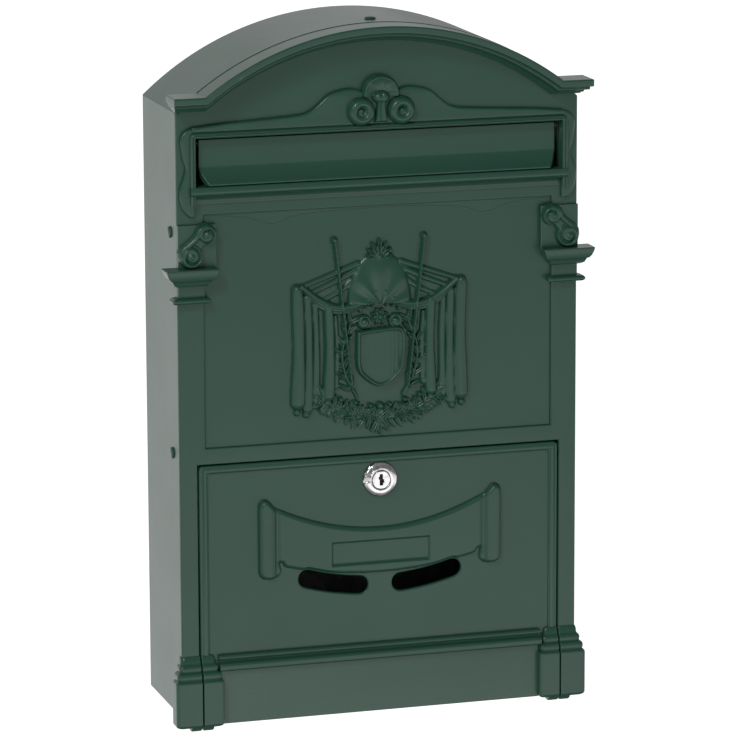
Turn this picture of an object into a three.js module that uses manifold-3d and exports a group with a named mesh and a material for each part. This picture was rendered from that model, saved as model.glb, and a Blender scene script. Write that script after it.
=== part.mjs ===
// Wall mounted mailbox: a bent steel body with a cast front, a letter flap over the
// slot and a lower door on two hinge pins with a cam lock.
// Millimetres. +X right, -Y out of the front, +Z up. The wall is the plane y = 0.
// Pieces are drawn with z = 0 at the foot of the plinth, and the whole group is then
// lowered so that the origin is the middle of the four wall holes, on the back panel.
import * as THREE from 'three';
import { mergeVertices } from 'three/addons/utils/BufferGeometryUtils.js';
import Module from 'manifold-3d';

const wasm = await Module();
wasm.setup();

// ---- Driving dimensions ------------------------------------------------------------

const bodyWidth = 241.6;
const bodyHeight = 410;
const bodyDepth = 75.1;
const archRise = 47.3;
const sheet = 1;
const fit = 0.3;
const footClearance = 4;

const castWall = 3.5;
const castReveal = 0.5;
const corniceDepth = 16.1;
const rimDepth = 20.4;
const rimWall = 2.5;

const slotWidth = 221;
const slotHeight = 27.6;
const slotBelowCrown = 62.2;
const beadWidth = 3.4;
const beadDepth = 5.1;
const collarDepth = 10.4;
const undercut = 2;

const flapWall = 2;
const flapSideGap = 3;
const flapSetBack = 1.3;
const flapLip = 6.4;
const flapLipHeight = 11;
const flapRodRadius = 1.25;
const rodClearance = 0.3;
const flapBarrelRadius = 2.5;

const doorWidth = 219.6;
const doorHeight = 155.4;
const doorGap = 0.8;
const doorRimDepth = 5.4;
const fieldDrop = 0.8;
const fieldBorder = 5.5;
const plinthHeight = 28;
const plinthDepth = 6.7;
const plinthSpread = 5;
const plinthInner = 97.3;
const ledgeBottom = 32.4;
const ledgeTop = 41.7;
const ledgeDepth = 4.1;

const hingePinRadius = 2;
const hingeClearance = 0.2;
const hingeBossRadius = 6;
const hingeBossLength = 6.4;
const hingeAxisHeight = 3;

const lockBelowDoorTop = 15;
const lockFlangeRadius = 10;
const lockFlangeThickness = 2.8;
const lockBarrelRadius = 8;
const lockFlat = 7.2;
const lockPlugRadius = 5.4;
const lockNutRadius = 12;
const lockLength = 15.9;
const camLength = 22;
const camThickness = 2;
const tangWidth = 6;

const wallHoleRadius = 4;
const wallHoleSpacingX = 150;
const wallHoleSpacingZ = 250;
const wallHoleMiddle = 205;
const panelFlange = 10;

// ---- Places worked out from them ---------------------------------------------------

const bodyHalf = bodyWidth / 2;
const archRadius = (bodyHalf ** 2 + archRise ** 2) / (2 * archRise);
const archCentre = bodyHeight - archRadius;
const castBack = -bodyDepth - fit;
const castFace = castBack - castWall;
const castHalf = bodyHalf + castReveal;
const panelFace = castFace + 1.5;

const slotHalf = slotWidth / 2;
const slotTop = bodyHeight - slotBelowCrown;
const slotBottom = slotTop - slotHeight;
const beadFace = castFace - beadDepth;
const beadOuter = slotHalf + beadWidth;
const flapAxis = { y: castBack + 1.6, z: slotTop - 3.2 };
const flapFace = castFace + flapSetBack;
const flapHalf = slotHalf - flapSideGap;

const doorHalf = doorWidth / 2;
const doorOpeningHalf = doorHalf + doorGap;
const doorOpeningTop = doorHeight + doorGap;
const plinthFace = castFace - plinthDepth;
const plinthOuter = castHalf + plinthSpread;
const doorAxis = { y: plinthFace + hingeBossRadius + 0.2, z: hingeAxisHeight };
const fieldFace = castFace + fieldDrop;
const fieldHalf = doorHalf - fieldBorder;
const fieldTop = doorHeight - 4.8;
const lockHeight = doorHeight - lockBelowDoorTop;

const barrelEnd = castBack + fit + lockLength - castWall;
const camFront = barrelEnd + 0.6;
const camBack = camFront + camThickness;
const pinSegments = 20;

// ---- Solid making -------------------------------------------------------------------

const xAxis = new THREE.Vector3(1, 0, 0);
const yAxis = new THREE.Vector3(0, 1, 0);
const zAxis = new THREE.Vector3(0, 0, 1);

function solid(geometry) {
  const bare = geometry.index ? geometry.toNonIndexed() : geometry;
  bare.deleteAttribute('normal');
  bare.deleteAttribute('uv');
  const merged = mergeVertices(bare, 1e-4);
  const corners = merged.index.array;
  const faces = [];
  for (let i = 0; i < corners.length; i += 3) {
    const [a, b, c] = [corners[i], corners[i + 1], corners[i + 2]];
    if (a !== b && b !== c && c !== a) faces.push(a, b, c);
  }
  const vertProperties = new Float32Array(merged.attributes.position.array);
  return new wasm.Manifold(
    new wasm.Mesh({ numProp: 3, vertProperties, triVerts: new Uint32Array(faces) }));
}

function box(x, y, z) {
  const geometry = new THREE.BoxGeometry(
    Math.abs(x[1] - x[0]), Math.abs(y[1] - y[0]), Math.abs(z[1] - z[0]));
  geometry.translate((x[0] + x[1]) / 2, (y[0] + y[1]) / 2, (z[0] + z[1]) / 2);
  return solid(geometry);
}

// A flat shape drawn in X and Z, filled from one Y to another.
function slab(shape, yFront, yBack, curveSegments = 12) {
  const geometry = new THREE.ExtrudeGeometry(
    shape, { depth: yBack - yFront, bevelEnabled: false, curveSegments });
  geometry.applyMatrix4(new THREE.Matrix4().makeBasis(xAxis, zAxis, yAxis.clone().negate()));
  geometry.translate(0, yBack, 0);
  return solid(geometry);
}

// A section drawn in Y and Z, run from one X to another.
function bar(section, xLow, xHigh) {
  const geometry = new THREE.ExtrudeGeometry(
    section, { depth: xHigh - xLow, bevelEnabled: false });
  geometry.applyMatrix4(new THREE.Matrix4().makeBasis(yAxis, zAxis, xAxis));
  geometry.translate(xLow, 0, 0);
  return solid(geometry);
}

function roundX(radius, x, y, z, segments = pinSegments) {
  const geometry = new THREE.CylinderGeometry(radius, radius, Math.abs(x[1] - x[0]), segments);
  geometry.rotateZ(Math.PI / 2);
  geometry.translate((x[0] + x[1]) / 2, y, z);
  return solid(geometry);
}

function roundY(radius, x, y, z, segments = pinSegments) {
  const geometry = new THREE.CylinderGeometry(radius, radius, Math.abs(y[1] - y[0]), segments);
  geometry.translate(x, (y[0] + y[1]) / 2, z);
  return solid(geometry);
}

function polygon(points) {
  return new THREE.Shape(points.map(([a, b]) => new THREE.Vector2(a, b)));
}

function join(pieces) {
  return pieces.reduce((whole, piece) => whole.add(piece));
}

function cut(whole, tools) {
  return tools.reduce((left, tool) => left.subtract(tool), whole);
}

// The body's outline, taken in by an even amount: two upright sides under one arc.
function archOutline(inset, foot, half = bodyHalf) {
  const radius = archRadius - inset;
  const side = half - inset;
  const spring = Math.acos(side / radius);
  const shape = new THREE.Shape();
  shape.moveTo(side, foot);
  shape.lineTo(side, archCentre + radius * Math.sin(spring));
  shape.absarc(0, archCentre, radius, spring, Math.PI - spring, false);
  shape.lineTo(-side, foot);
  shape.closePath();
  return shape;
}

function archSlab(inset, foot, yFront, yBack) {
  return slab(archOutline(inset, foot), yFront, yBack, 28);
}

const bothSides = (make) => [-1, 1].flatMap((side) => make(side));

// ---- Materials ------------------------------------------------------------------------

const paint = { color: 0x3c5249, roughness: 0.5, metalness: 0.1 };
const galvanised = { color: 0x9fa3a4, roughness: 0.45, metalness: 0.9 };
const zincPlated = { color: 0xb6b8b4, roughness: 0.35, metalness: 0.95 };
const chrome = { color: 0xd8d9da, roughness: 0.12, metalness: 1 };

const mailbox = new THREE.Group();
mailbox.position.z = -wallHoleMiddle;

function place(name, body, finish) {
  const { vertProperties, triVerts } = body.getMesh();
  const geometry = new THREE.BufferGeometry();
  geometry.setAttribute('position', new THREE.BufferAttribute(vertProperties, 3));
  geometry.setIndex(new THREE.BufferAttribute(triVerts, 1));
  geometry.computeVertexNormals();
  const mesh = new THREE.Mesh(geometry, new THREE.MeshStandardMaterial(finish));
  mesh.name = name;
  mailbox.add(mesh);
}

// ---- Steel body -------------------------------------------------------------------------

const rivetShank = 2;
const rivetHole = rivetShank + fit;
const rivetBehindBody = 13.6;
const rivetPlane = -bodyDepth + rivetBehindBody;
const sideRivetHeights = [bodyHeight - 118.5, doorHeight + 5.6];
const rivets = bothSides((side) => sideRivetHeights.map((height, index) => ({
  name: `side_rivet_${side < 0 ? 'left' : 'right'}_${index ? 'lower' : 'upper'}`,
  at: new THREE.Vector3(side * bodyHalf, rivetPlane, height),
  out: new THREE.Vector3(side, 0, 0),
})));
rivets.push({
  name: 'crown_rivet',
  at: new THREE.Vector3(0, rivetPlane, bodyHeight),
  out: zAxis,
});

function aimed(geometry, rivet) {
  geometry.applyQuaternion(new THREE.Quaternion().setFromUnitVectors(yAxis, rivet.out));
  geometry.translate(rivet.at.x, rivet.at.y, rivet.at.z);
  return solid(geometry);
}

function rivetHoles() {
  const reach = 12;
  return rivets.map((rivet) => aimed(
    new THREE.CylinderGeometry(rivetHole, rivetHole, reach, 10), rivet));
}

function bodyWrap() {
  const shell = cut(archSlab(0, footClearance, -bodyDepth, 0),
    [archSlab(sheet, footClearance - sheet, -bodyDepth - sheet, sheet)]);
  return cut(shell, rivetHoles());
}

function backPanel() {
  const inset = sheet + fit;
  const plate = archSlab(inset, footClearance, -sheet, 0);
  const flange = cut(archSlab(inset, footClearance, -sheet - panelFlange, -sheet / 2),
    [archSlab(inset + sheet, footClearance - sheet, -sheet - panelFlange - 1, 0)]);
  const holes = bothSides((side) => [-1, 1].map((rise) => roundY(
    wallHoleRadius, side * wallHoleSpacingX / 2, [-2 * sheet, sheet],
    wallHoleMiddle + rise * wallHoleSpacingZ / 2, 16)));
  return cut(join([plate, flange]), holes);
}

const floorFront = castBack + doorRimDepth + 0.7;

function floorPan() {
  const half = bodyHalf - sheet - fit;
  const back = -sheet - fit;
  const upstand = footClearance + panelFlange;
  const sideBack = back - panelFlange - fit;
  const sideFront = castBack + rimDepth + fit;
  const base = box([-half, half], [floorFront, back], [footClearance, footClearance + sheet]);
  const cornerNotch = bothSides((side) => [
    box([side * (half - sheet - fit), side * (half + fit)], [sideBack, back + fit],
      [footClearance - sheet, upstand])]);
  const sides = bothSides((side) => [
    box([side * (half - sheet), side * half], [sideFront, sideBack], [footClearance, upstand])]);
  const rearHalf = half - sheet - fit;
  const rear = box([-rearHalf, rearHalf], [back - sheet, back], [footClearance, upstand]);
  return join([cut(base, cornerNotch), ...sides, rear]);
}

function rivetBody(rivet) {
  const headRadius = 3.5;
  const tailStart = -sheet - fit - rimWall - fit;
  const profile = [
    [0, tailStart - 1.8], [2.1, tailStart - 1.6], [2.9, tailStart], [rivetShank, tailStart],
    [rivetShank, fit], [headRadius, fit], [2.9, 1.1], [0, 1.6],
  ];
  const points = profile.map(([radius, height]) => new THREE.Vector2(radius, height));
  return aimed(new THREE.LatheGeometry(points, 12), rivet);
}

place('body_wrap', bodyWrap(), paint);
place('back_panel', backPanel(), galvanised);
place('floor_pan', floorPan(), galvanised);
rivets.forEach((rivet) => place(rivet.name, rivetBody(rivet), paint));

// ---- Cast front ---------------------------------------------------------------------------

const earTop = bodyHeight - 36.5;
const pilasterInner = doorOpeningHalf - 5.3;
const panelFoot = doorOpeningTop + 9.8;
const panelHead = slotBottom - 17;
const overlap = 1;

// The cornice steps back in three bands: along the arch they lie inside one another, and
// at its two ends they turn into level ears that stand out past the sides.
const corniceBands = [
  { inset: 0.3, width: 4.2, depth: corniceDepth, drop: 0, height: 4.5, spread: 4.6 },
  { inset: 4.2, width: 2.7, depth: corniceDepth - 4, drop: 4.5, height: 2.7, spread: 2.2 },
  { inset: 6.6, width: 2.4, depth: corniceDepth - 9.5, drop: 7.2, height: 2.8, spread: 0.7 },
];

function archMoulding() {
  const earFoot = earTop - corniceBands[0].height;
  const above = box([-bodyWidth, bodyWidth], [castFace - 2 * corniceDepth, 0],
    [earFoot, bodyHeight + overlap]);
  return corniceBands.map(({ inset, width, depth }) => cut(
    archSlab(inset, 0, castFace - depth, castFace + overlap),
    [archSlab(inset + width, -overlap, castFace - depth - overlap, castFace + 2 * overlap)],
  ).intersect(above));
}

function corniceEars() {
  const inner = Math.sqrt(archRadius ** 2 - (earTop - archCentre) ** 2) - 5;
  const lap = 0.1;
  return bothSides((side) => corniceBands.map(({ depth, drop, height, spread }) => box(
    [side * inner, side * (castHalf + spread)], [castFace - depth, castBack],
    [earTop - drop - height, earTop - drop + lap])));
}

// The hood over the slot swells from its two ends to a niche that holds a keystone
// between two scrolls.
function hoodPanel() {
  const face = castFace - 3.1;
  const back = castFace + overlap;
  const foot = slotTop + 4;
  const endHalf = beadOuter - 1.6;
  const niche = { radius: 10.3, z: foot + 17.7 };
  const keystone = { half: 4.6, rise: 18.5, depth: 3.4 };
  const scroll = { x: 12.1, z: foot + 7.6, radius: 7.7, depth: 3.6 };
  const eye = { radius: 2.8, depth: 5 };
  const edge = [
    [endHalf, 2.7], [0.84 * slotHalf, 4.4], [54, 6.7], [41.7, 9.2], [34.2, 15.2],
    [26.7, 19.5], [16.9, 20.9], [niche.radius, 19.5],
  ];
  const right = edge.map(([x, rise]) => [x, foot + rise]);
  const left = right.map(([x, z]) => [-x, z]).reverse();
  const ends = [[endHalf, foot - overlap], [-endHalf, foot - overlap]];
  const outline = polygon([ends[0], ...right, ...left, ends[1]]);
  const scrolls = bothSides((side) => [scroll, { ...scroll, ...eye }].map(({ x, z, radius, depth }) => (
    roundY(radius, side * x, [face - depth, castFace], z, 24))));
  return [
    slab(outline, face, back),
    roundY(niche.radius, 0, [face, back], niche.z, 28),
    box([-keystone.half, keystone.half], [face - keystone.depth, castFace],
      [foot + 2, foot + keystone.rise]),
    ...scrolls,
  ];
}

const beadTop = slotTop + 4.2;
const sillFoot = slotBottom - 10.4;

function slotSurround() {
  const back = castFace + overlap;
  const sillFace = beadFace - 0.6;
  const sillSection = polygon([
    [back, sillFoot], [castFace - 1.5, sillFoot + 1], [beadFace + 1.2, sillFoot + 5.2],
    [sillFace, sillFoot + 5.8], [sillFace, slotBottom - 0.6], [beadFace, slotBottom],
    [back, slotBottom]]);
  const topBead = [
    box([-beadOuter, beadOuter], [beadFace, castFace - fit], [slotTop, beadTop]),
    box([-beadOuter, beadOuter], [beadFace, back], [slotTop + undercut, beadTop]),
  ];
  const scroll = { radius: 9, x: beadOuter - 3.2, depth: 3 };
  const sides = bothSides((side) => [
    box([side * slotHalf, side * beadOuter], [beadFace, back], [sillFoot, beadTop]),
    ...[slotTop - 4, slotBottom - 3].map((z) => roundY(
      scroll.radius, side * scroll.x, [castFace - scroll.depth, back], z))]);
  return [bar(sillSection, -beadOuter, beadOuter), ...topBead, ...sides];
}

const collarWall = 2.6;

function slotCollar() {
  const half = slotHalf + collarWall;
  return box([-half, half], [castBack - overlap, castBack + collarDepth],
    [slotBottom - collarWall, slotTop + undercut + collarWall]);
}

// The rib along the foot of the slot that the closed flap rests on.
function flapStop() {
  const half = slotHalf - 6.6;
  const front = castFace - 1.7;
  return box([-half, half], [front, castFace + overlap], [slotBottom - overlap, slotBottom + 1.8]);
}

function slotCuts() {
  const clipPocket = { depth: 1.3, half: 3.2, length: 3.4 };
  const rodBore = flapRodRadius + rodClearance;
  const inner = slotHalf + collarWall;
  const ends = bothSides((side) => [
    roundX(rodBore, [side * (slotHalf - overlap), side * (inner + clipPocket.length)],
      flapAxis.y, flapAxis.z, 16),
    box([side * inner, side * (inner + clipPocket.length)],
      [castBack - clipPocket.depth, castBack + overlap],
      [flapAxis.z - clipPocket.half, flapAxis.z + clipPocket.half])]);
  return [
    box([-slotHalf, slotHalf], [castFace - fit, castBack + collarDepth + overlap],
      [slotBottom, slotTop + undercut]),
    box([-slotHalf, slotHalf], [beadFace - overlap, castFace], [slotBottom, slotTop]),
    ...ends,
  ];
}

// Each capital is a block with an S-scroll on it, over an abacus in two tiers, a neck and
// an astragal. Heights are counted from the top of the abacus, depths from the cast face.
function capitals() {
  const head = slotBottom - 47.2;
  const blockInner = pilasterInner - 7;
  const abacusOuter = castHalf + 8.4;
  const tiers = [
    { from: blockInner, to: castHalf, low: -1, high: 25, depth: 2.1 },
    { from: blockInner, to: abacusOuter, low: -6.5, high: 0, depth: 9.1 },
    { from: blockInner + 2.7, to: abacusOuter - 4.2, low: -10.5, high: -6.4, depth: 6.1 },
    { from: pilasterInner, to: castHalf, low: -18, high: -10, depth: 1.2 },
    { from: pilasterInner - 2.8, to: castHalf + 4, low: -20.5, high: -17.5, depth: 5.1 },
  ];
  const scrolls = [
    { x: pilasterInner - 0.8, rise: 19.5, radius: 6, depth: 6.1 },
    { x: pilasterInner - 0.8, rise: 19.5, radius: 2.4, depth: 7.6 },
    { x: pilasterInner + 8.9, rise: 7.2, radius: 7.3, depth: 7.6 },
    { x: pilasterInner + 8.9, rise: 7.2, radius: 2.8, depth: 9 },
  ];
  return bothSides((side) => [
    ...tiers.map(({ from, to, low, high, depth }) => box(
      [side * from, side * to], [castFace - depth, castBack], [head + low, head + high])),
    ...scrolls.map(({ x, rise, radius, depth }) => roundY(
      radius, side * x, [castFace - depth, castFace + overlap], head + rise)),
  ]);
}

// The steps over the plinth: each stands out past an edge by its own spread.
const baseSteps = [
  { low: -0.1, high: 5, spread: 3.3, depth: plinthDepth - 1 },
  { low: 4.9, high: 10, spread: 1.6, depth: plinthDepth - 3.1 },
  { low: 9.9, high: 14, spread: 0.7, depth: plinthDepth - 5.1 },
];

function steppedBase(start, edge, side) {
  const outward = Math.sign(edge - start);
  return baseSteps.map(({ low, high, spread, depth }) => box(
    [side * start, side * (edge + outward * spread)], [castFace - depth, castBack],
    [plinthHeight + low, plinthHeight + high]));
}

function plinthBlocks() {
  return bothSides((side) => [
    box([side * doorOpeningHalf, side * plinthOuter], [plinthFace, castBack], [0, plinthHeight]),
    ...steppedBase(doorOpeningHalf, castHalf, side),
    roundX(hingeBossRadius, [side * doorOpeningHalf, side * (doorOpeningHalf + hingeBossLength)],
      doorAxis.y, doorAxis.z, 24),
  ]);
}

// A plain draped crest in low relief on the main panel. Its outlines are shares of the
// panel's height, counted from the panel's middle.
function crest() {
  const unit = (panelHead - panelFoot) / 100;
  const middle = (panelFoot + panelHead) / 2;
  const face = panelFace - 3.2;
  const back = panelFace + overlap;
  const at = (points) => polygon(points.map(([x, z]) => [x * unit, middle + z * unit]));
  const swag = [
    [-33.5, 16], [-16, 5.8], [0, 10.2], [16, 5.8], [33.5, 16], [11.7, 27.7], [0, 32.1],
    [-11.7, 27.7]];
  const shield = [[-11, -3], [11, -3], [11, -19], [6.6, -27.7], [0, -32.1], [-6.6, -27.7], [-11, -19]];
  const spray = [[-26.2, -27.7], [26.2, -27.7], [16, -39.4], [0, -48.1], [-16, -39.4]];
  const drapes = bothSides((side) => [slab(at([
    [side * 13.8, 13.8], [side * 32.1, 20.4], [side * 40.8, 13.1], [side * 36.4, -32.1],
    [side * 23.3, -35], [side * 24.1, 1.5]]), face + overlap, back)]);
  return [
    slab(at(swag), face, back), slab(at(shield), face - 0.8, back),
    slab(at(spray), face + overlap, back), ...drapes];
}

const doorStopBack = castBack + 3;
const ribDepth = 3.2;

// The keeper rib behind the frame's lower edge holds the lock's cam, and the stops each
// side of it turn down behind the door's top edge.
function doorKeepers() {
  const keeperHalf = 60;
  const stop = { inner: 20, outer: doorHalf - 1.8, lap: 4.4 };
  const ribFoot = doorOpeningTop + 0.6;
  const stops = bothSides((side) => {
    const reach = [side * stop.inner, side * stop.outer];
    return [
      box(reach, [castBack - overlap, doorStopBack], [ribFoot, ribFoot + ribDepth]),
      box(reach, [castBack + 0.5, doorStopBack], [doorHeight - stop.lap, ribFoot + ribDepth])];
  });
  const keeperFoot = doorOpeningTop + 1.8;
  return [
    box([-keeperHalf, keeperHalf], [castBack - overlap, barrelEnd], [keeperFoot, keeperFoot + 3.5]),
    ...stops];
}

// The shallow rim at the back of the casting that slips inside the steel body.
function rearRim() {
  const inset = sheet + fit;
  const foot = footClearance + sheet + 0.4;
  return cut(archSlab(inset, foot, castBack - overlap, castBack + rimDepth),
    [archSlab(inset + rimWall, foot - overlap, castBack - 2, castBack + rimDepth + overlap)]);
}

function frontFrame() {
  const edgeInset = 0.3;
  const plate = slab(archOutline(edgeInset, 0, castHalf + edgeInset), castFace, castBack, 28);
  const panelDrop = box([-pilasterInner, pilasterInner], [castFace - overlap, panelFace],
    [panelFoot, panelHead]);
  const doorway = box([-doorOpeningHalf, doorOpeningHalf],
    [castFace - overlap, castBack + overlap], [-overlap, doorOpeningTop]);
  const dressed = join([cut(plate, [panelDrop, doorway]), rearRim(), ...archMoulding(),
    ...corniceEars(), ...hoodPanel(), ...slotSurround(), ...capitals(), ...plinthBlocks(),
    ...crest(), ...doorKeepers(), slotCollar()]);
  const hingeBores = bothSides((side) => [
    roundX(hingePinRadius + hingeClearance,
      [side * (doorOpeningHalf - overlap), side * (plinthOuter + overlap)],
      doorAxis.y, doorAxis.z)]);
  return cut(dressed, [...slotCuts(), ...hingeBores, ...rivetHoles()]).add(flapStop());
}

place('front_frame', frontFrame(), paint);

// ---- Letter flap ---------------------------------------------------------------------------

// A plate that hangs from a barrel behind its top edge. Its lower edge flares forward as
// a lip, with the lip's two ends cut off aslant.
function letterFlap() {
  const back = flapFace + flapWall;
  const lipFace = flapFace - flapLip;
  const lipTop = slotBottom + flapLipHeight;
  const lipFoot = slotBottom + 0.4;
  const lipWall = 2.5;
  const leafTop = flapAxis.z + 1.2;
  const section = polygon([
    [flapFace, leafTop], [flapFace, lipTop], [lipFace, lipFoot + 1], [lipFace + 0.3, lipFoot],
    [lipFace + lipWall, lipFoot], [back, lipTop - 1], [back, leafTop]]);
  const cheek = 4.5;
  const cheeks = bothSides((side) => {
    const corner = polygon([
      [side * (flapHalf + overlap), lipTop], [side * flapHalf, lipTop],
      [side * (flapHalf - cheek), lipFoot - overlap], [side * (flapHalf + overlap), lipFoot - overlap]]);
    return [slab(corner, lipFace - overlap, flapFace + fit)];
  });
  const reach = [-flapHalf, flapHalf];
  const barrel = roundX(flapBarrelRadius, reach, flapAxis.y, flapAxis.z, 16);
  const web = box(reach, [back - 0.5, flapAxis.y], [flapAxis.z - 1.6, leafTop]);
  const bore = roundX(flapRodRadius + rodClearance,
    [-flapHalf - overlap, flapHalf + overlap], flapAxis.y, flapAxis.z, 16);
  return cut(join([bar(section, ...reach), barrel, web]), [...cheeks, bore]);
}

const clipThickness = 1;
const clipRadius = 2.6;
const rodHalf = slotHalf + collarWall + fit + clipThickness + 0.9;

function flapClip(side) {
  const inner = slotHalf + collarWall + fit;
  const outer = inner + clipThickness;
  const disc = roundX(clipRadius, [side * inner, side * outer], flapAxis.y, flapAxis.z, 16);
  return cut(disc, [roundX(flapRodRadius + rodClearance,
    [side * (inner - overlap), side * (outer + overlap)], flapAxis.y, flapAxis.z, 16)]);
}

place('letter_flap', letterFlap(), paint);
place('flap_rod', roundX(flapRodRadius, [-rodHalf, rodHalf], flapAxis.y, flapAxis.z, 16), zincPlated);
place('flap_clip_left', flapClip(-1), zincPlated);
place('flap_clip_right', flapClip(1), zincPlated);

// ---- Lower door -----------------------------------------------------------------------------

const slotArc = { centre: doorHeight + 76.2, radius: 155, half: 5.4, from: 12.7, to: 44.6 };

// A slot with round ends that follows a low arc, from one angle to another.
function viewingSlot(side) {
  const angleAt = (x) => -Math.PI / 2 + side * Math.asin(x / slotArc.radius);
  const [near, far] = [angleAt(slotArc.from), angleAt(slotArc.to)];
  const [start, end] = side > 0 ? [near, far] : [far, near];
  const at = (angle) => [
    slotArc.radius * Math.cos(angle), slotArc.centre + slotArc.radius * Math.sin(angle)];
  const shape = new THREE.Shape();
  shape.absarc(0, slotArc.centre, slotArc.radius + slotArc.half, start, end, false);
  shape.absarc(...at(end), slotArc.half, end, end + Math.PI, false);
  shape.absarc(0, slotArc.centre, slotArc.radius - slotArc.half, end, start, true);
  shape.absarc(...at(start), slotArc.half, start + Math.PI, start + 2 * Math.PI, false);
  return slab(shape, castFace - 4, castBack + overlap, 8);
}

// A scroll-ended banner: two shallow parabolas between two upright rolls.
const bannerTop = { z: doorHeight - 43.6, spread: 256 };
const bannerFoot = { z: doorHeight - 71.4, spread: 458 };

function banner() {
  const half = 67;
  const steps = 10;
  const across = Array.from({ length: 2 * steps + 1 }, (_, i) => half * (i / steps - 1));
  const edge = ({ z, spread }) => across.map((x) => [x, z + x * x / spread]);
  const roll = { inner: 62.5, outer: 74.5, depth: 2.4, foot: 1.5, head: 45, radius: 4 };
  const face = fieldFace - roll.depth;
  const back = fieldFace + overlap;
  const head = bannerFoot.z + roll.head;
  const rolls = bothSides((side) => [
    box([side * roll.inner, side * roll.outer], [face, back], [bannerFoot.z + roll.foot, head]),
    roundY(roll.radius, side * (roll.outer - roll.radius), [face, back], head)]);
  const outline = polygon([...edge(bannerTop), ...edge(bannerFoot).reverse()]);
  return [slab(outline, fieldFace - 1.6, back), ...rolls];
}

function nameRecess() {
  return box([-30.2, 30.2], [fieldFace - 5, fieldFace - 0.7],
    [bannerFoot.z + 6, bannerFoot.z + 20.4]);
}

function lockShape(radius, flat, y) {
  return roundY(radius, 0, y, lockHeight, 32)
    .intersect(box([-flat, flat], [y[0] - overlap, y[1] + overlap],
      [lockHeight - 2 * radius, lockHeight + 2 * radius]));
}

function ledge() {
  const front = castFace - ledgeDepth;
  const half = plinthInner + 2;
  return bar(polygon([
    [castFace + overlap, ledgeTop], [castFace - 1, ledgeTop], [front + 1, ledgeTop - 3.6],
    [front, ledgeTop - 4.2], [front, ledgeBottom], [castFace + overlap, ledgeBottom]]), -half, half);
}

// The rim that stiffens the back of the door, cut away round the lock's nut.
function doorRim() {
  const half = doorHalf - 3.8;
  const wall = 2;
  const foot = 12;
  const head = doorHeight - 8.4;
  const back = castBack + doorRimDepth;
  return cut(box([-half, half], [castBack - overlap, back], [foot, head]), [
    box([wall - half, half - wall], [castBack - 2, back + overlap], [foot + wall, head - wall]),
    roundY(lockNutRadius + 1.2, 0, [castBack, back + overlap], lockHeight, 28)]);
}

function doorBlocks() {
  return bothSides((side) => [
    box([side * plinthInner, side * doorHalf], [plinthFace, castBack], [0, plinthHeight]),
    ...steppedBase(doorHalf, plinthInner + 5, side),
    roundX(hingeBossRadius, [side * (doorHalf - hingeBossLength), side * doorHalf],
      doorAxis.y, doorAxis.z, 24)]);
}

const hingeBoreStart = doorHalf - hingeBossLength + 0.4;

function doorPanel() {
  const plate = box([-doorHalf, doorHalf], [castFace, castBack], [0, doorHeight]);
  const field = box([-fieldHalf, fieldHalf], [castFace - overlap, fieldFace], [ledgeTop, fieldTop]);
  const kickHalf = plinthInner + overlap;
  const kick = box([-kickHalf, kickHalf], [castFace - 1.3, castBack], [0, ledgeBottom + 0.5]);
  const lockHole = lockShape(lockBarrelRadius + fit, lockFlat + fit, [castFace - 5, castBack + 2]);
  const hingeBores = bothSides((side) => [
    roundX(hingePinRadius + hingeClearance, [side * hingeBoreStart, side * (doorHalf + overlap)],
      doorAxis.y, doorAxis.z)]);
  const whole = join([
    cut(plate, [field]), ledge(), kick, ...doorBlocks(), doorRim(), ...banner()]);
  return cut(whole, [nameRecess(), lockHole, viewingSlot(-1), viewingSlot(1), ...hingeBores]);
}

function hingePin(side) {
  return roundX(hingePinRadius, [side * (hingeBoreStart + 0.4), side * (plinthOuter - fit)],
    doorAxis.y, doorAxis.z);
}

place('door_panel', doorPanel(), paint);
place('door_hinge_pin_left', hingePin(-1), zincPlated);
place('door_hinge_pin_right', hingePin(1), zincPlated);

// ---- Cam lock ----------------------------------------------------------------------------------

const flangeBack = fieldFace - fit;
const flangeFront = flangeBack - lockFlangeThickness;
const plugBore = lockPlugRadius + fit;

function lockBody() {
  const flange = roundY(lockFlangeRadius, 0, [flangeFront, flangeBack], lockHeight, 36);
  const barrel = lockShape(lockBarrelRadius, lockFlat, [flangeBack - 1, barrelEnd]);
  const rim = 1.2;
  const groove = cut(
    roundY(lockFlangeRadius - rim, 0, [flangeFront - overlap, flangeFront + 0.5], lockHeight, 36),
    [roundY(plugBore + rim, 0, [flangeFront - 2, flangeFront + overlap], lockHeight, 28)]);
  return cut(join([flange, barrel]), [
    groove, roundY(plugBore, 0, [flangeFront - overlap, barrelEnd + overlap], lockHeight, 28)]);
}

const screwRadius = 1.5;
const screwLength = 6.3;
const washerThickness = 0.8;

function keyway(from, to) {
  return join([
    box([-0.9, 0.9], [from, to], [lockHeight - 4.2, lockHeight + 4.2]),
    box([-1.5, 1.5], [from, to], [lockHeight - 2.1, lockHeight - 0.5]),
  ]);
}

function lockPlug() {
  const front = flangeFront + fit;
  const shoulder = camFront - fit;
  const tangEnd = camBack - fit;
  const screwBore = roundY(screwRadius + fit, 0, [shoulder - screwLength - fit, tangEnd + overlap],
    lockHeight, 16);
  const half = tangWidth / 2;
  const tang = box([-half, half], [shoulder - 1, tangEnd], [lockHeight - half, lockHeight + half]);
  const core = roundY(lockPlugRadius, 0, [front, shoulder], lockHeight, 28);
  const keyEnd = shoulder - screwLength - 2;
  return cut(join([core, tang]), [screwBore, keyway(front - overlap, keyEnd)]);
}

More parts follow.
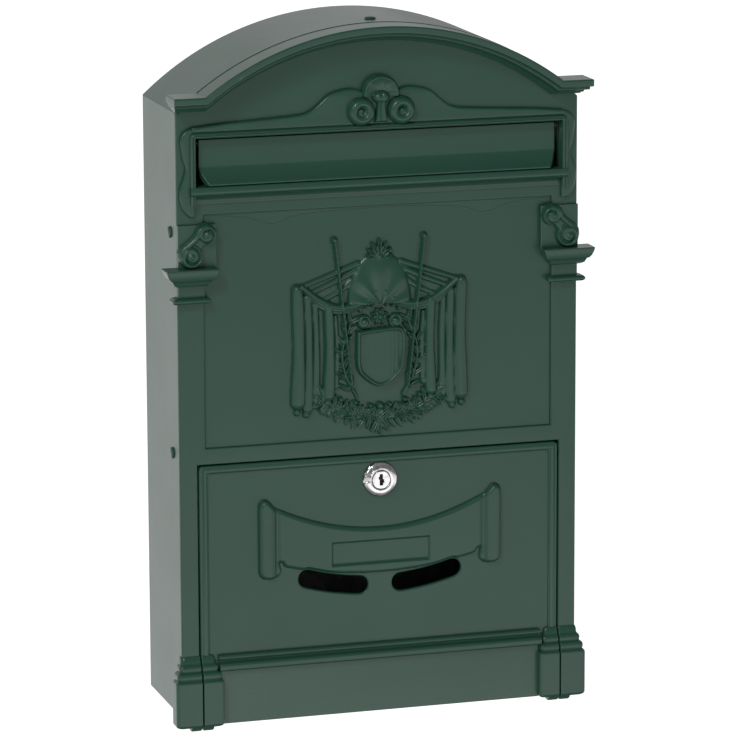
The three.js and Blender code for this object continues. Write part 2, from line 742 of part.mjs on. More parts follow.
function lockCam() {
  const tipHalf = 5;
  const reach = [camFront, camBack];
  const hub = roundY(7, 0, reach, lockHeight, 24);
  const arm = box([0, camLength - tipHalf], reach, [lockHeight - tipHalf, lockHeight + tipHalf]);
  const tip = roundY(tipHalf, camLength - tipHalf, reach, lockHeight);
  const socket = tangWidth / 2 + fit;
  return cut(join([hub, arm, tip]), [
    box([-socket, socket], [camFront - overlap, camBack + overlap],
      [lockHeight - socket, lockHeight + socket])]);
}

const lockWasher = [castBack + fit, castBack + fit + washerThickness];
const lockNut = [lockWasher[1] + fit, lockWasher[1] + fit + 4];

function threadedRing(outer, y, segments, turn) {
  const geometry = new THREE.CylinderGeometry(outer, outer, y[1] - y[0], segments);
  geometry.rotateY(turn);
  geometry.translate(0, (y[0] + y[1]) / 2, lockHeight);
  return cut(solid(geometry), [
    roundY(lockBarrelRadius + fit, 0, [y[0] - overlap, y[1] + overlap], lockHeight, 32)]);
}

function camWasher() {
  const front = camBack + fit;
  const disc = roundY(4.8, 0, [front, front + washerThickness], lockHeight);
  return cut(disc, [roundY(screwRadius + 0.5, 0, [camBack, front + 3], lockHeight, 16)]);
}

function camScrew() {
  const headStart = camBack + 2 * fit + washerThickness;
  const head = roundY(3.6, 0, [headStart, headStart + 2.2], lockHeight);
  const shank = roundY(screwRadius, 0,
    [camFront - screwLength, headStart + overlap], lockHeight, 16);
  const recess = [headStart + 1.1, headStart + 4];
  const [long, narrow] = [2.2, 0.4];
  const cross = [[long, narrow], [narrow, long]].map(([x, z]) => box(
    [-x, x], recess, [lockHeight - z, lockHeight + z]));
  return cut(join([shank, head]), cross);
}

place('lock_body', lockBody(), chrome);
place('lock_washer', threadedRing(10.4, lockWasher, 28, 0), zincPlated);
place('lock_nut', threadedRing(lockNutRadius, lockNut, 6, Math.PI / 6), zincPlated);
place('lock_plug', lockPlug(), chrome);
place('lock_cam', lockCam(), zincPlated);
place('cam_washer', camWasher(), zincPlated);
place('cam_screw', camScrew(), zincPlated);

export default mailbox;
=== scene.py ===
"""Wall mounted mailbox: steel body, ornamental cast front, letter flap, lower door, cam lock."""

from math import acos, asin, cos, pi, radians, sin, sqrt

import bmesh
import bpy
import numpy as np
from mathutils import Matrix, Vector


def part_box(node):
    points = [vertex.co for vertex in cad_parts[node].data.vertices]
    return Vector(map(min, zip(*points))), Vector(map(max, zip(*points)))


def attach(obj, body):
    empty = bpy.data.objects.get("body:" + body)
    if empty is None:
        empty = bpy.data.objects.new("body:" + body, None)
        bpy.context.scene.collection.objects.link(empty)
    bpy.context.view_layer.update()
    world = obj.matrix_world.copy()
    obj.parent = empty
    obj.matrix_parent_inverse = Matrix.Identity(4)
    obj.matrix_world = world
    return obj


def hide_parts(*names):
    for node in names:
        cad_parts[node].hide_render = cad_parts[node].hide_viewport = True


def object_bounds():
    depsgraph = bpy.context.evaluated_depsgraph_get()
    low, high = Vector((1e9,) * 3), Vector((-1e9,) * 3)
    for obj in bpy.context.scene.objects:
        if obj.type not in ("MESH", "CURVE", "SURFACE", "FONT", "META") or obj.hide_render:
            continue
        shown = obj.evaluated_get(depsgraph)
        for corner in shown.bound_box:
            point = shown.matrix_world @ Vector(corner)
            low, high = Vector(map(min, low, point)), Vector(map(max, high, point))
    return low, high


bl_info = {
    "name": "Wall Mailbox Maker",
    "version": (1, 0, 0),
    "blender": (4, 5, 0),
    "location": "View3D > Sidebar > Mailbox",
    "description": "Makes the visible pieces of a wall mounted mailbox around its packed frame",
    "category": "Object",
}

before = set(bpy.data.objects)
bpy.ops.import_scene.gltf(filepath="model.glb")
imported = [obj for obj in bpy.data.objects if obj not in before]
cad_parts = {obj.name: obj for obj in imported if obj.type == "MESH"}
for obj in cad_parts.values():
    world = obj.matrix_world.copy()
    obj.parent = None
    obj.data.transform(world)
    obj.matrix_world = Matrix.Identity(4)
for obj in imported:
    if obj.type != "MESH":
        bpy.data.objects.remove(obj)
cad_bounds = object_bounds()

# ---- Sizes, in millimetres -----------------------------------------------------------------------
# Heights are counted from the foot of the plinth, as the maker draws them. The wall is y = 0
# and the front faces -y. The hood and the cheeks are drawn for a body as tall as DRAWN_CROWN,
# and move with the crown.

MM = 0.001


def node_span(node):
    low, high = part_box(node)
    return Vector(low) / MM, Vector(high) / MM


BODY_LOW, BODY_HIGH = node_span("body_wrap")
BODY_FOOT = 4.0
FOOT = BODY_LOW.z - BODY_FOOT
BODY_HALF = BODY_HIGH.x
CROWN = BODY_HIGH.z - FOOT
BODY_DEPTH = -BODY_LOW.y
SHEET = 1.0
FIT = 0.3
ARCH_RISE = 47.3
ARCH_RADIUS = (BODY_HALF**2 + ARCH_RISE**2) / (2 * ARCH_RISE)
ARCH_CENTRE = CROWN - ARCH_RADIUS

CAST_BACK = -BODY_DEPTH - FIT
CAST_FACE = CAST_BACK - 3.5
CAST_HALF = BODY_HALF + 0.5
CAST_INSET = 0.3
PANEL_FACE = CAST_FACE + 1.5
EAR_TOP = CROWN - 36.5
DRAWN_CROWN = 410.0

SLOT_HALF = 110.5
SLOT_TOP = CROWN - 62.2
SLOT_FOOT = SLOT_TOP - 27.6
UNDERCUT = 2.0
BEAD_FACE = CAST_FACE - 5.1
BEAD_OUTER = SLOT_HALF + 3.4
SILL_FOOT = SLOT_FOOT - 10.4

FLAP_HALF = 107.5
FLAP_FACE = CAST_FACE + 1.3
FLAP_AXIS_Y = CAST_BACK + 1.6
FLAP_AXIS_Z = SLOT_TOP - 3.2

DOOR_HALF = 109.8
DOOR_TOP = 155.4
OPENING_HALF = DOOR_HALF + 0.8
OPENING_TOP = DOOR_TOP + 0.8
PILASTER_INNER = OPENING_HALF - 5.3
PANEL_FOOT = OPENING_TOP + 9.8
PANEL_HEAD = SLOT_FOOT - 17.0
FIELD_FACE = CAST_FACE + 0.8
FIELD_HALF = DOOR_HALF - 5.5
FIELD_TOP = DOOR_TOP - 4.8
PLINTH_FACE = CAST_FACE - 6.7
PLINTH_INNER = 97.3
LEDGE_FOOT = 32.4
LEDGE_TOP = 41.7
HINGE_Y = PLINTH_FACE + 6.2
HINGE_Z = 3.0
BOSS_RADIUS = 6.0
BOSS_LENGTH = 6.4

RIM_WALL = 2.5
RIM_DEPTH = 20.4
RIVET_Y = -61.5
RIVET_UPPER = CROWN - 118.5
RIVET_LOWER = DOOR_TOP + 5.6

LOCK_Z = DOOR_TOP - 15.0
FLANGE_BACK = FIELD_FACE - FIT
FLANGE_FRONT = FLANGE_BACK - 2.8
FLANGE_RADIUS = 10.5
FLANGE_BORE = 5.7
BARREL_END = CAST_BACK + FIT + 12.4
BARREL_RADIUS = 8.0
BARREL_FLAT = 7.2
LOCK_BORE = BARREL_RADIUS + FIT
PLUG_RADIUS = 5.4


# ---- Settings that a user can change -------------------------------------------------------------


class PaintSettings(bpy.types.PropertyGroup):
    """Powder coat on the body and the casting."""

    colour: bpy.props.FloatVectorProperty(
        name="Colour", description="Colour of the powder coat", subtype="COLOR",
        size=3, min=0, max=1, default=(0.016, 0.065, 0.043))
    # Painted highlight: the lighter green that is mixed in on sharp edges.
    edge_highlight: bpy.props.FloatVectorProperty(
        name="Edge highlight colour", description="Colour painted on sharp edges as a highlight",
        subtype="COLOR", size=3, min=0, max=1, default=(0.06, 0.115, 0.088))
    roughness: bpy.props.FloatProperty(
        name="Roughness", description="Roughness of the satin coat", subtype="FACTOR",
        min=0, max=1, default=0.33)
    peel: bpy.props.FloatProperty(
        name="Orange peel", description="Size of the grain in the coat", unit="LENGTH",
        min=0.0001, max=0.01, default=0.0011)
    peel_height: bpy.props.FloatProperty(
        name="Peel height", description="How far the grain stands up", unit="LENGTH",
        min=0, max=0.001, default=0.000018)


class CastingSettings(bpy.types.PropertyGroup):
    """Edges and relief of the cast front."""

    edge: bpy.props.FloatProperty(
        name="Edge round", description="Radius on the plain edges of the sill and the rear rim",
        unit="LENGTH", min=0.0001, max=0.002, default=0.0004)
    relief_step: bpy.props.FloatProperty(
        name="Relief step", description="Spacing of the points that the ornament is made on",
        unit="LENGTH", min=0.0002, max=0.002, default=0.00042)
    crest_height: bpy.props.FloatProperty(
        name="Crest height", description="How far the crest stands off the panel", unit="LENGTH",
        min=0.0005, max=0.006, default=0.0046)


class LockSettings(bpy.types.PropertyGroup):
    """Face of the cam lock."""

    ticks: bpy.props.IntProperty(
        name="Ticks", description="Marks cut around the flange", min=0, max=48, default=14)
    tick_depth: bpy.props.FloatProperty(
        name="Tick depth", description="Depth of the marks in the flange", unit="LENGTH",
        min=0, max=0.002, default=0.0011)


class StageSettings(bpy.types.PropertyGroup):
    """Floor, lights and camera."""

    floor: bpy.props.FloatVectorProperty(
        name="Floor colour", description="Colour of the pale floor", subtype="COLOR",
        size=3, min=0, max=1, default=(0.45, 0.45, 0.45))
    floor_drop: bpy.props.FloatProperty(
        name="Floor drop", description="How far the floor lies under the mailbox", unit="LENGTH",
        min=0.01, max=3, default=0.9)
    azimuth: bpy.props.FloatProperty(
        name="Azimuth", description="Camera's angle to the left of the front", subtype="ANGLE",
        default=radians(16.76))
    elevation: bpy.props.FloatProperty(
        name="Elevation", description="Camera's angle above level", subtype="ANGLE",
        default=radians(11.94))
    roll: bpy.props.FloatProperty(
        name="Roll", description="Camera's tilt about its own axis", subtype="ANGLE",
        default=radians(-0.22))
    distance: bpy.props.FloatProperty(
        name="Distance", description="Camera's distance from the mailbox", unit="LENGTH",
        min=0.5, max=10, default=2.7197)
    lens: bpy.props.FloatProperty(
        name="Lens", description="Focal length in millimetres", min=20, max=400, default=225.0)
    key: bpy.props.FloatProperty(
        name="Key light", description="Power of the light over the front", unit="POWER",
        min=0, max=2000, default=22.0)
    side: bpy.props.FloatProperty(
        name="Side light", description="Power of the soft light at the left", unit="POWER",
        min=0, max=2000, default=1.5)
    fill: bpy.props.FloatProperty(
        name="Fill light", description="Power of the soft light low in front", unit="POWER",
        min=0, max=2000, default=3.6)
    back: bpy.props.FloatProperty(
        name="Back light", description="Power of the wide light behind", unit="POWER",
        min=0, max=2000, default=13.0)
    kicker: bpy.props.FloatProperty(
        name="Kicker", description="Power of the small light that makes the glints", unit="POWER",
        min=0, max=2000, default=5.0)
    sky: bpy.props.FloatProperty(
        name="Surround", description="Brightness of the white surround", min=0, max=5,
        default=0.25)


# ---- Mesh making ---------------------------------------------------------------------------------


WELD = 0.004
BEVEL_ANGLE = 35.0


def in_frame(points):
    """Points drawn in millimetres over the plinth's foot, as metres in the frame."""
    placed = np.asarray(points, dtype=float) * MM
    placed[:, 2] += FOOT * MM
    return placed


def smooth(mesh, angle):
    mesh.polygons.foreach_set("use_smooth", [True] * len(mesh.polygons))
    mesh.set_sharp_from_angle(angle=radians(angle))


def baked(piece):
    """Applies a piece's modifiers to its mesh."""
    graph = bpy.context.evaluated_depsgraph_get()
    result = bpy.data.meshes.new_from_object(piece.evaluated_get(graph))
    piece.modifiers.clear()
    before = piece.data
    piece.data = result
    bpy.data.meshes.remove(before)
    result.name = piece.name


def finish_piece(name, mesh, body, finish, rounding=0.0, angle=40.0, stands_for=(),
                 flat_faces=True):
    """Rounds a closed mesh's edges, gives it its paint and sets it on a body."""
    work = bmesh.new()
    work.from_mesh(mesh)
    bmesh.ops.remove_doubles(work, verts=work.verts, dist=WELD * MM)
    bmesh.ops.recalc_face_normals(work, faces=work.faces)
    work.to_mesh(mesh)
    work.free()
    piece = bpy.data.objects.new(name, mesh)
    bpy.context.scene.collection.objects.link(piece)
    if rounding:
        bevel = piece.modifiers.new("edge", "BEVEL")
        bevel.width = rounding * MM
        bevel.segments = 3
        bevel.limit_method = "ANGLE"
        bevel.angle_limit = radians(BEVEL_ANGLE)
        baked(piece)
    smooth(piece.data, angle)
    if flat_faces:
        level = piece.modifiers.new("level", "WEIGHTED_NORMAL")
        level.keep_sharp = True
        baked(piece)
    piece.data.materials.clear()
    piece.data.materials.append(finish.material)
    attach(piece, body)
    if stands_for:
        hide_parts(*stands_for)
    return piece


def raw_mesh(name, points, faces):
    mesh = bpy.data.meshes.new(name)
    mesh.from_pydata([tuple(p) for p in in_frame(points)], [], faces)
    mesh.validate()
    return mesh


def joined(name, parts):
    """One mesh that holds several closed shells, each a pair of points and faces."""
    points, faces = [], []
    for part_points, part_faces in parts:
        start = len(points)
        points.extend(part_points)
        faces.extend([tuple(start + i for i in face) for face in part_faces])
    return raw_mesh(name, points, faces)


def ring_loft(rings, closed=False):
    """Skins rings of equal length, and caps the two ends unless the last meets the first."""
    count = len(rings[0])
    points = [p for ring in rings for p in ring]
    faces = []
    last = len(rings) if closed else len(rings) - 1
    for k in range(last):
        a, b = k * count, ((k + 1) % len(rings)) * count
        for i in range(count):
            j = (i + 1) % count
            faces.append((a + i, a + j, b + j, b + i))
    if not closed:
        faces.append(tuple(range(count - 1, -1, -1)))
        faces.append(tuple(range((len(rings) - 1) * count, len(rings) * count)))
    return points, faces


def block(x, y, z):
    """A box between two values of each of x, y and z."""
    ring = [(x[0], y[0]), (x[1], y[0]), (x[1], y[1]), (x[0], y[1])]
    return ring_loft([[(a, b, level) for a, b in ring] for level in z])


def both(part):
    """A part of the right side, and its mirror on the left."""
    points, faces = part
    return [part, ([(-x, y, z) for x, y, z in points], [tuple(reversed(face)) for face in faces])]


def run_through(section, x_from, x_to):
    """A section of (y, z) run level from one x to another."""
    return ring_loft([[(x, y, z) for y, z in section] for x in (x_from, x_to)])


def open_strip(outer, inner, front, back):
    """A bent strip between two open lines, run through from front to back."""
    loop = [*outer, *reversed(inner)]
    return ring_loft([[(x, y, z) for x, z in loop] for y in (front, back)])


def turned(profile, centre, along, around, segments=40):
    """A part turned on an axis: (distance along, radius) from one end to the other."""
    along, around = Vector(along), Vector(around)
    third = along.cross(around)
    rings = []
    for step, radius in profile:
        rings.append([tuple(Vector(centre) + along * step
                            + radius * (around * cos(t) + third * sin(t)))
                      for t in np.linspace(0, 2 * pi, segments, endpoint=False)])
    return ring_loft(rings)


def swept(path, section):
    """A section of (sideways, y) run along a line in X and Z, mitred at its corners."""
    points = [Vector(p) for p in path]
    rings = []
    for k, point in enumerate(points):
        ahead = points[k + 1] - point if k < len(points) - 1 else point - points[k - 1]
        behind = point - points[k - 1] if k else ahead
        ahead, behind = ahead.normalized(), behind.normalized()
        across = Vector((-ahead.y - behind.y, ahead.x + behind.x)).normalized()
        stretch = 1 / max(0.3, across.dot(Vector((-ahead.y, ahead.x))))
        rings.append([(point.x + across.x * s * stretch, y, point.y + across.y * s * stretch)
                      for s, y in section])
    return ring_loft(rings)


def rounded_stack(x_inner, x_outer, back, levels, inner_corner=0.5, outer_corner=0.5):
    """A moulding round a front and both its sides, whose front corners are round in plan.

    Each level is (height, spread inwards, spread outwards, depth in front of the casting)."""
    rings = []
    turn = np.linspace(0, pi / 2, 6)
    for z, inwards, outwards, depth in levels:
        a, b, face = x_inner - inwards, x_outer + outwards, CAST_FACE - depth
        ra, rb = min(inner_corner, (b - a) / 3), min(outer_corner, (b - a) / 3)
        front_inner = [(a + ra - ra * cos(t), face + ra - ra * sin(t), z) for t in turn]
        front_outer = [(b - rb + rb * sin(t), face + rb - rb * cos(t), z) for t in turn]
        rings.append([(a, back, z), *front_inner, *front_outer, (b, back, z)])
    return ring_loft(rings)


def plate(name, outlines, front, back, body, finish, rounding=0.5, stands_for=()):
    """A flat plate filled between outlines in X and Z; those inside another are holes."""
    curve = bpy.data.curves.new(name, "CURVE")
    curve.dimensions = "2D"
    curve.fill_mode = "BOTH"
    curve.extrude = ((back - front) / 2 - rounding) * MM
    curve.bevel_depth = rounding * MM
    curve.bevel_resolution = 2
    curve.offset = -rounding * MM
    for outline in outlines:
        spline = curve.splines.new("POLY")
        spline.points.add(len(outline) - 1)
        for point, (x, z) in zip(spline.points, outline):
            point.co = (x * MM, z * MM, 0, 1)
        spline.use_cyclic_u = True
    drawn = bpy.data.objects.new(name, curve)
    bpy.context.scene.collection.objects.link(drawn)
    graph = bpy.context.evaluated_depsgraph_get()
    mesh = bpy.data.meshes.new_from_object(drawn.evaluated_get(graph))
    bpy.data.objects.remove(drawn)
    bpy.data.curves.remove(curve)
    upright = Matrix(((1, 0, 0, 0), (0, 0, -1, (front + back) / 2 * MM),
                      (0, 1, 0, FOOT * MM), (0, 0, 0, 1)))
    mesh.transform(upright)
    return finish_piece(name, mesh, body, finish, stands_for=stands_for)


def arch_points(inset, foot, half=BODY_HALF):
    """Outline of the body, taken in by an even amount, from the right foot to the left."""
    radius = ARCH_RADIUS - inset
    side = half - inset
    spring = acos(side / radius)
    turn = np.linspace(spring, pi - spring, 72)
    arc = [(radius * cos(a), ARCH_CENTRE + radius * sin(a)) for a in turn]
    return [(side, foot), *arc, (-side, foot)]


def rectangle(half, foot, top, corner=0.0):
    """Outline of a rectangle in X and Z, with round corners where a radius is given."""
    if not corner:
        return [(-half, foot), (half, foot), (half, top), (-half, top)]
    centres = [(half - corner, top - corner), (corner - half, top - corner),
               (corner - half, foot + corner), (half - corner, foot + corner)]
    return [(x + corner * cos(a), z + corner * sin(a))
            for quarter, (x, z) in enumerate(centres)
            for a in np.linspace(quarter * pi / 2, (quarter + 1) * pi / 2, 6)]


def circle(radius, x, z, steps):
    return [(x + radius * cos(a), z + radius * sin(a))
            for a in np.linspace(0, 2 * pi, steps, endpoint=False)]


def flowing(points, steps=6):
    """A smooth open line through the given points."""
    known = np.array([points[0], *points, points[-1]], dtype=float)
    line = []
    for k in range(1, len(known) - 2):
        a, b, c, d = known[k - 1 : k + 3]
        for t in np.arange(steps) / steps:
            line.append(tuple(0.5 * (2 * b + (c - a) * t + (2 * a - 5 * b + 4 * c - d) * t**2
                                     + (3 * b - a - 3 * c + d) * t**3)))
    line.append(tuple(known[-1]))
    return line


# ---- Relief: heights worked out over a patch of a panel ------------------------------------------


BARELY_RAISED = 0.02
SEATED = 0.12


class Patch:
    """A grid over part of a panel. Heights grow out of the panel, in millimetres."""

    def __init__(self, x, z, step):
        across = max(2, round((x[1] - x[0]) / step))
        up = max(2, round((z[1] - z[0]) / step))
        self.x, self.z = np.meshgrid(np.linspace(*x, across + 1), np.linspace(*z, up + 1))
        self.height = np.zeros_like(self.x)

    def raise_to(self, height):
        self.height = np.maximum(self.height, height)

    def away_from(self, x, z):
        """Distance to a place on the panel."""
        return np.hypot(self.x - x, self.z - z)

    def line(self, points):
        """Distance to a line of points, and how far along it the nearest place is, 0 to 1."""
        points = np.asarray(points, dtype=float)
        lengths = np.hypot(*np.diff(points, axis=0).T)
        total = lengths.sum()
        best = np.full_like(self.x, 1e9)
        along = np.zeros_like(self.x)
        gone = 0.0
        for (ax, az), (bx, bz), length in zip(points[:-1], points[1:], lengths):
            if length == 0:
                continue
            ux, uz = (bx - ax) / length, (bz - az) / length
            t = np.clip((self.x - ax) * ux + (self.z - az) * uz, 0, length)
            d = np.hypot(self.x - ax - ux * t, self.z - az - uz * t)
            near = d < best
            best = np.where(near, d, best)
            along = np.where(near, (gone + t) / total, along)
            gone += length
        return best, along

    def polygon(self, points):
        """Signed distance to a closed outline, negative inside."""
        closed = [*points, points[0]]
        away, _ = self.line(closed)
        inside = np.zeros(self.x.shape, dtype=bool)
        for (ax, az), (bx, bz) in zip(closed[:-1], closed[1:]):
            if az == bz:
                continue
            crosses = (az > self.z) != (bz > self.z)
            inside ^= crosses & (self.x < (bx - ax) * (self.z - az) / (bz - az) + ax)
        return np.where(inside, -away, away)

    def shell(self, face, sunk):
        """A closed skin over every cell that stands out, with a flat back inside the panel."""
        rows, columns = self.x.shape
        shown = self.height > BARELY_RAISED
        cell = shown[:-1, :-1] | shown[1:, :-1] | shown[:-1, 1:] | shown[1:, 1:]
        index = np.arange(rows * columns).reshape(rows, columns)
        quads = np.stack([index[:-1, :-1], index[:-1, 1:], index[1:, 1:], index[1:, :-1]], -1)
        corners = quads[cell]
        offset = rows * columns
        faces = [corners, corners[:, ::-1] + offset]
        wide = np.pad(cell, 1)
        neighbours = {(-1, 0): (0, 1), (0, 1): (1, 2), (1, 0): (2, 3), (0, -1): (3, 0)}
        for (down, over), (a, b) in neighbours.items():
            open_side = cell & ~wide[1 + down : rows + down, 1 + over : columns + over]
            ring = quads[open_side]
            foot, head = ring[:, a], ring[:, b]
            faces.append(np.stack([head, foot, foot + offset, head + offset], -1))
        faces = np.concatenate(faces)
        surface = face + SEATED - self.height
        front = np.stack([self.x.ravel(), surface.ravel(), self.z.ravel()], -1)
        back = front.copy()
        back[:, 1] = face + sunk
        points = np.concatenate([front, back])
        used, flat = np.unique(faces, return_inverse=True)
        return points[used], flat.reshape(faces.shape)


def relief(name, patch, face, body, sunk=0.8):
    """A cast relief on a face, as one closed piece whose back is sunk into the metal."""
    points, faces = patch.shell(face, sunk)
    mesh = bpy.data.meshes.new(name)
    mesh.from_pydata(in_frame(points).tolist(), [], faces.tolist())
    return finish_piece(name, mesh, body, finish("casting"), angle=60.0, flat_faces=False)


def pillow(distance, height, edge):
    """Height of a flat-topped form with round edges, from its signed distance."""
    t = np.clip(-distance / edge, 0, 1)
    return height * np.sqrt(1 - (1 - t) ** 2)


def cord_ridge(distance, radius, height):
    """Height of a half-round cord, from the distance to its middle."""
    return height * np.sqrt(np.clip(1 - (distance / radius) ** 2, 0, 1))


def volute(patch, x, z, radius, height, way, turns, start):
    """A scroll that winds in to a round eye, on a domed disc."""
    rho = patch.away_from(x, z)
    turn = np.arctan2(patch.z - z, way * (patch.x - x)) - start
    pitch = radius / turns
    phase = (rho / pitch - turn / (2 * pi)) % 1.0
    groove = 0.36 * height * np.exp(-(((phase - 0.5) / 0.2) ** 2))
    groove *= np.clip((rho - 0.3 * radius) / (0.15 * radius), 0, 1)
    fading = groove * np.clip((radius - rho) / 1.2, 0, 1)
    patch.raise_to(pillow(rho - radius, height, 0.34 * radius) - fading)
    eye = 0.31 * radius
    patch.raise_to(np.where(rho < eye, 0.75 * height, 0) + cord_ridge(rho, eye, 0.42 * height))


def leaf(patch, x, z, angle, length, width, height):
    """A pointed leaf with a sunk midrib, growing from its foot at x and z."""
    a = radians(angle)
    u = (patch.x - x) * cos(a) + (patch.z - z) * sin(a)
    v = -(patch.x - x) * sin(a) + (patch.z - z) * cos(a)
    t = np.clip(u / length, 0, 1)
    half = width * np.sqrt(np.clip(4 * t * (1 - t), 0, 1)) * (1 - 0.35 * t)
    safe = np.maximum(half, 1e-6)
    dome = np.sqrt(np.clip(1 - (v / safe) ** 2, 0, 1))
    rib = 0.45 * np.exp(-((v / (0.22 * width)) ** 2))
    grown = height * dome * (1 - rib) * (0.55 + 0.45 * t)
    patch.raise_to(np.where((u > 0) & (u < length), grown, 0))


def knob(patch, x, z, radius, height):
    patch.raise_to(cord_ridge(patch.away_from(x, z), radius, height))


def relief_step(share=1.0):
    """Spacing of a relief's points, as a share of the one that the user sets."""
    return bpy.context.scene.mailbox_casting.relief_step / MM * share


# ---- Finishes ------------------------------------------------------------------------------------


class Value:
    """A node's output that can stand in ordinary arithmetic; each sum adds its Math node."""

    def __init__(self, finish, socket):
        self.finish = finish
        self.socket = socket

    def _maths(self, operation, *terms):
        return self.finish.add("ShaderNodeMath", {"operation": operation}, *terms)

    def __add__(self, other):
        return self._maths("ADD", self, other)

    def __sub__(self, other):
        return self._maths("SUBTRACT", self, other)

    def __rsub__(self, other):
        return self._maths("SUBTRACT", other, self)

    def __mul__(self, other):
        return self._maths("MULTIPLY", self, other)

    def __truediv__(self, other):
        return self._maths("DIVIDE", self, other)

    __radd__ = __add__
    __rmul__ = __mul__

    def clipped(self):
        return self.finish.add("ShaderNodeClamp", {}, self)


class Finish:
    """A procedural material and the record's slot that it belongs to."""

    def __init__(self, name, slot):
        self.slot = slot
        self.material = bpy.data.materials.new(name)
        self.material.use_nodes = True
        self.tree = self.material.node_tree
        self.shader = self.tree.nodes["Principled BSDF"]
        self.place = self.add("ShaderNodeTexCoord", {}, output="Object")

    def add(self, kind, settings, *inputs, output=0, **named):
        """Adds a node, sets it up, fills its sockets by order or name, and gives one output."""
        node = self.tree.nodes.new(kind)
        for setting, value in settings.items():
            setattr(node, setting, value)
        for place, value in enumerate(inputs):
            self.feed(node.inputs[place], value)
        for key, value in named.items():
            self.feed(node.inputs[key.replace("_", " ")], value)
        return Value(self, node.outputs[output])

    def feed(self, socket, value):
        """Links a Value into a socket, or sets the socket to a plain number or colour."""
        if isinstance(value, Value):
            self.tree.links.new(value.socket, socket)
        else:
            socket.default_value = value

    def noise(self, size, detail, stretch=(1, 1, 1)):
        """Cloudy noise whose blobs are about one size across, in metres."""
        place = self.add("ShaderNodeMapping", {}, Vector=self.place, Scale=stretch)
        return self.add("ShaderNodeTexNoise", {}, output="Fac", Vector=place, Scale=1 / size,
                        Detail=detail)

    def mix(self, mask, plain, other):
        """One colour over another by a mask."""
        node = self.tree.nodes.new("ShaderNodeMix")
        node.data_type = "RGBA"
        self.feed(node.inputs["Factor"], mask)
        for socket, colour in ((node.inputs[6], plain), (node.inputs[7], other)):
            self.feed(socket, colour if isinstance(colour, Value) else (*colour, 1.0))
        return Value(self, node.outputs[2])

    def ridge(self):
        """How sharp the form is here: over a half on edges, under it in creases."""
        return self.add("ShaderNodeNewGeometry", {}, output="Pointiness")

    def bump(self, height, distance, below=None):
        """A normal that rises and falls with a height, laid over another one if given."""
        inputs = {"Height": height, "Distance": distance, "Strength": 1.0}
        if below is not None:
            inputs["Normal"] = below
        return self.add("ShaderNodeBump", {}, **inputs)

    def surface(self, **sockets):
        """Fills the shader's own sockets, named with _ for a space."""
        for key, value in sockets.items():
            self.feed(self.shader.inputs[key.replace("_", " ")], value)


def powder_coat(name, slot, lumps):
    """Satin powder coat: fine orange peel, faint clouding, painted highlights on edges, painted
    shade in creases.
    """
    paint = bpy.context.scene.mailbox_paint
    coat = Finish(name, slot)
    peel = coat.noise(paint.peel, 1.5)
    broad = coat.noise(0.014, 2.0)
    cloud = coat.noise(0.05, 4.0)
    speck = coat.noise(0.0016, 3.0)
    dark = tuple(0.8 * c for c in paint.colour)
    # Painted highlight: sharp edges turn a lighter green, broken up by specks.
    edge = ((coat.ridge() - 0.535) * 9.0).clipped() * (0.35 + speck * 0.8)
    # Painted shade: creases are darkened in colour; the same mask also makes them rougher.
    crease_shade_and_dullness = ((0.485 - coat.ridge()) * 9.0).clipped()
    tone = coat.mix(cloud * 0.7, tuple(paint.colour), dark)
    tone = coat.mix((edge * 0.55).clipped(), tone, tuple(paint.edge_highlight))
    tone = coat.mix((crease_shade_and_dullness * 0.5).clipped(), tone, tuple(0.45 * c for c in paint.colour))
    wavy = coat.bump(broad, lumps)
    coat.surface(
        Base_Color=tone,
        Roughness=(paint.roughness - 0.05 + cloud * 0.08 + speck * 0.05 + crease_shade_and_dullness * 0.12).clipped(),
        Normal=coat.bump(peel, paint.peel_height, wavy),
        IOR=1.38, Coat_Weight=0.12, Coat_Roughness=0.12)
    return coat


def galvanised_sheet():
    """Dull zinc with a faint spangle, finer scratches and a little white bloom."""
    zinc = Finish("galvanised sheet", "galvanised_steel")
    cells = zinc.add("ShaderNodeTexVoronoi", {}, output="Color", Vector=zinc.place, Scale=140.0)
    spangle = zinc.add("ShaderNodeSeparateColor", {}, cells)
    bloom = zinc.noise(0.03, 5.0)
    scratch = zinc.noise(0.002, 2.0, (1, 1, 0.06))
    tone = zinc.mix(spangle, (0.30, 0.31, 0.31), (0.45, 0.46, 0.46))
    tone = zinc.mix(((bloom - 0.5) * 1.6).clipped(), tone, (0.55, 0.56, 0.55))
    zinc.surface(Base_Color=tone, Metallic=1.0,
                 Roughness=(0.34 + spangle * 0.12 + bloom * 0.16).clipped(),
                 Normal=zinc.bump(scratch, 0.00001))
    return zinc


def zinc_plate():
    """Bright zinc plate on turned parts, with turning marks and a faint yellow passivate."""
    plate_finish = Finish("zinc plate", "zinc_plated_steel")
    haze = plate_finish.noise(0.006, 4.0)
    marks = plate_finish.noise(0.0006, 1.0, (1, 0.1, 1))
    tone = plate_finish.mix(haze, (0.46, 0.47, 0.46), (0.56, 0.54, 0.45))
    plate_finish.surface(Base_Color=tone, Metallic=1.0, Roughness=(0.24 + haze * 0.16).clipped(),
                         Normal=plate_finish.bump(marks, 0.000008))
    return plate_finish


def shade_dark_zinc():
    """Zinc plate darkened with painted shade, for the shadowed gaps at the ends of the flap."""
    dull = Finish("shade-dark zinc plate", "zinc_plated_steel")
    shade_mottle = dull.noise(0.004, 4.0)
    # Painted shade: near-black, mottled zinc where the rod and clips sit in the shadowed gap.
    dull.surface(Base_Color=dull.mix(shade_mottle, (0.05, 0.052, 0.05), (0.11, 0.112, 0.105)),
                 Metallic=0.6, Roughness=(0.5 + shade_mottle * 0.25).clipped())
    return dull


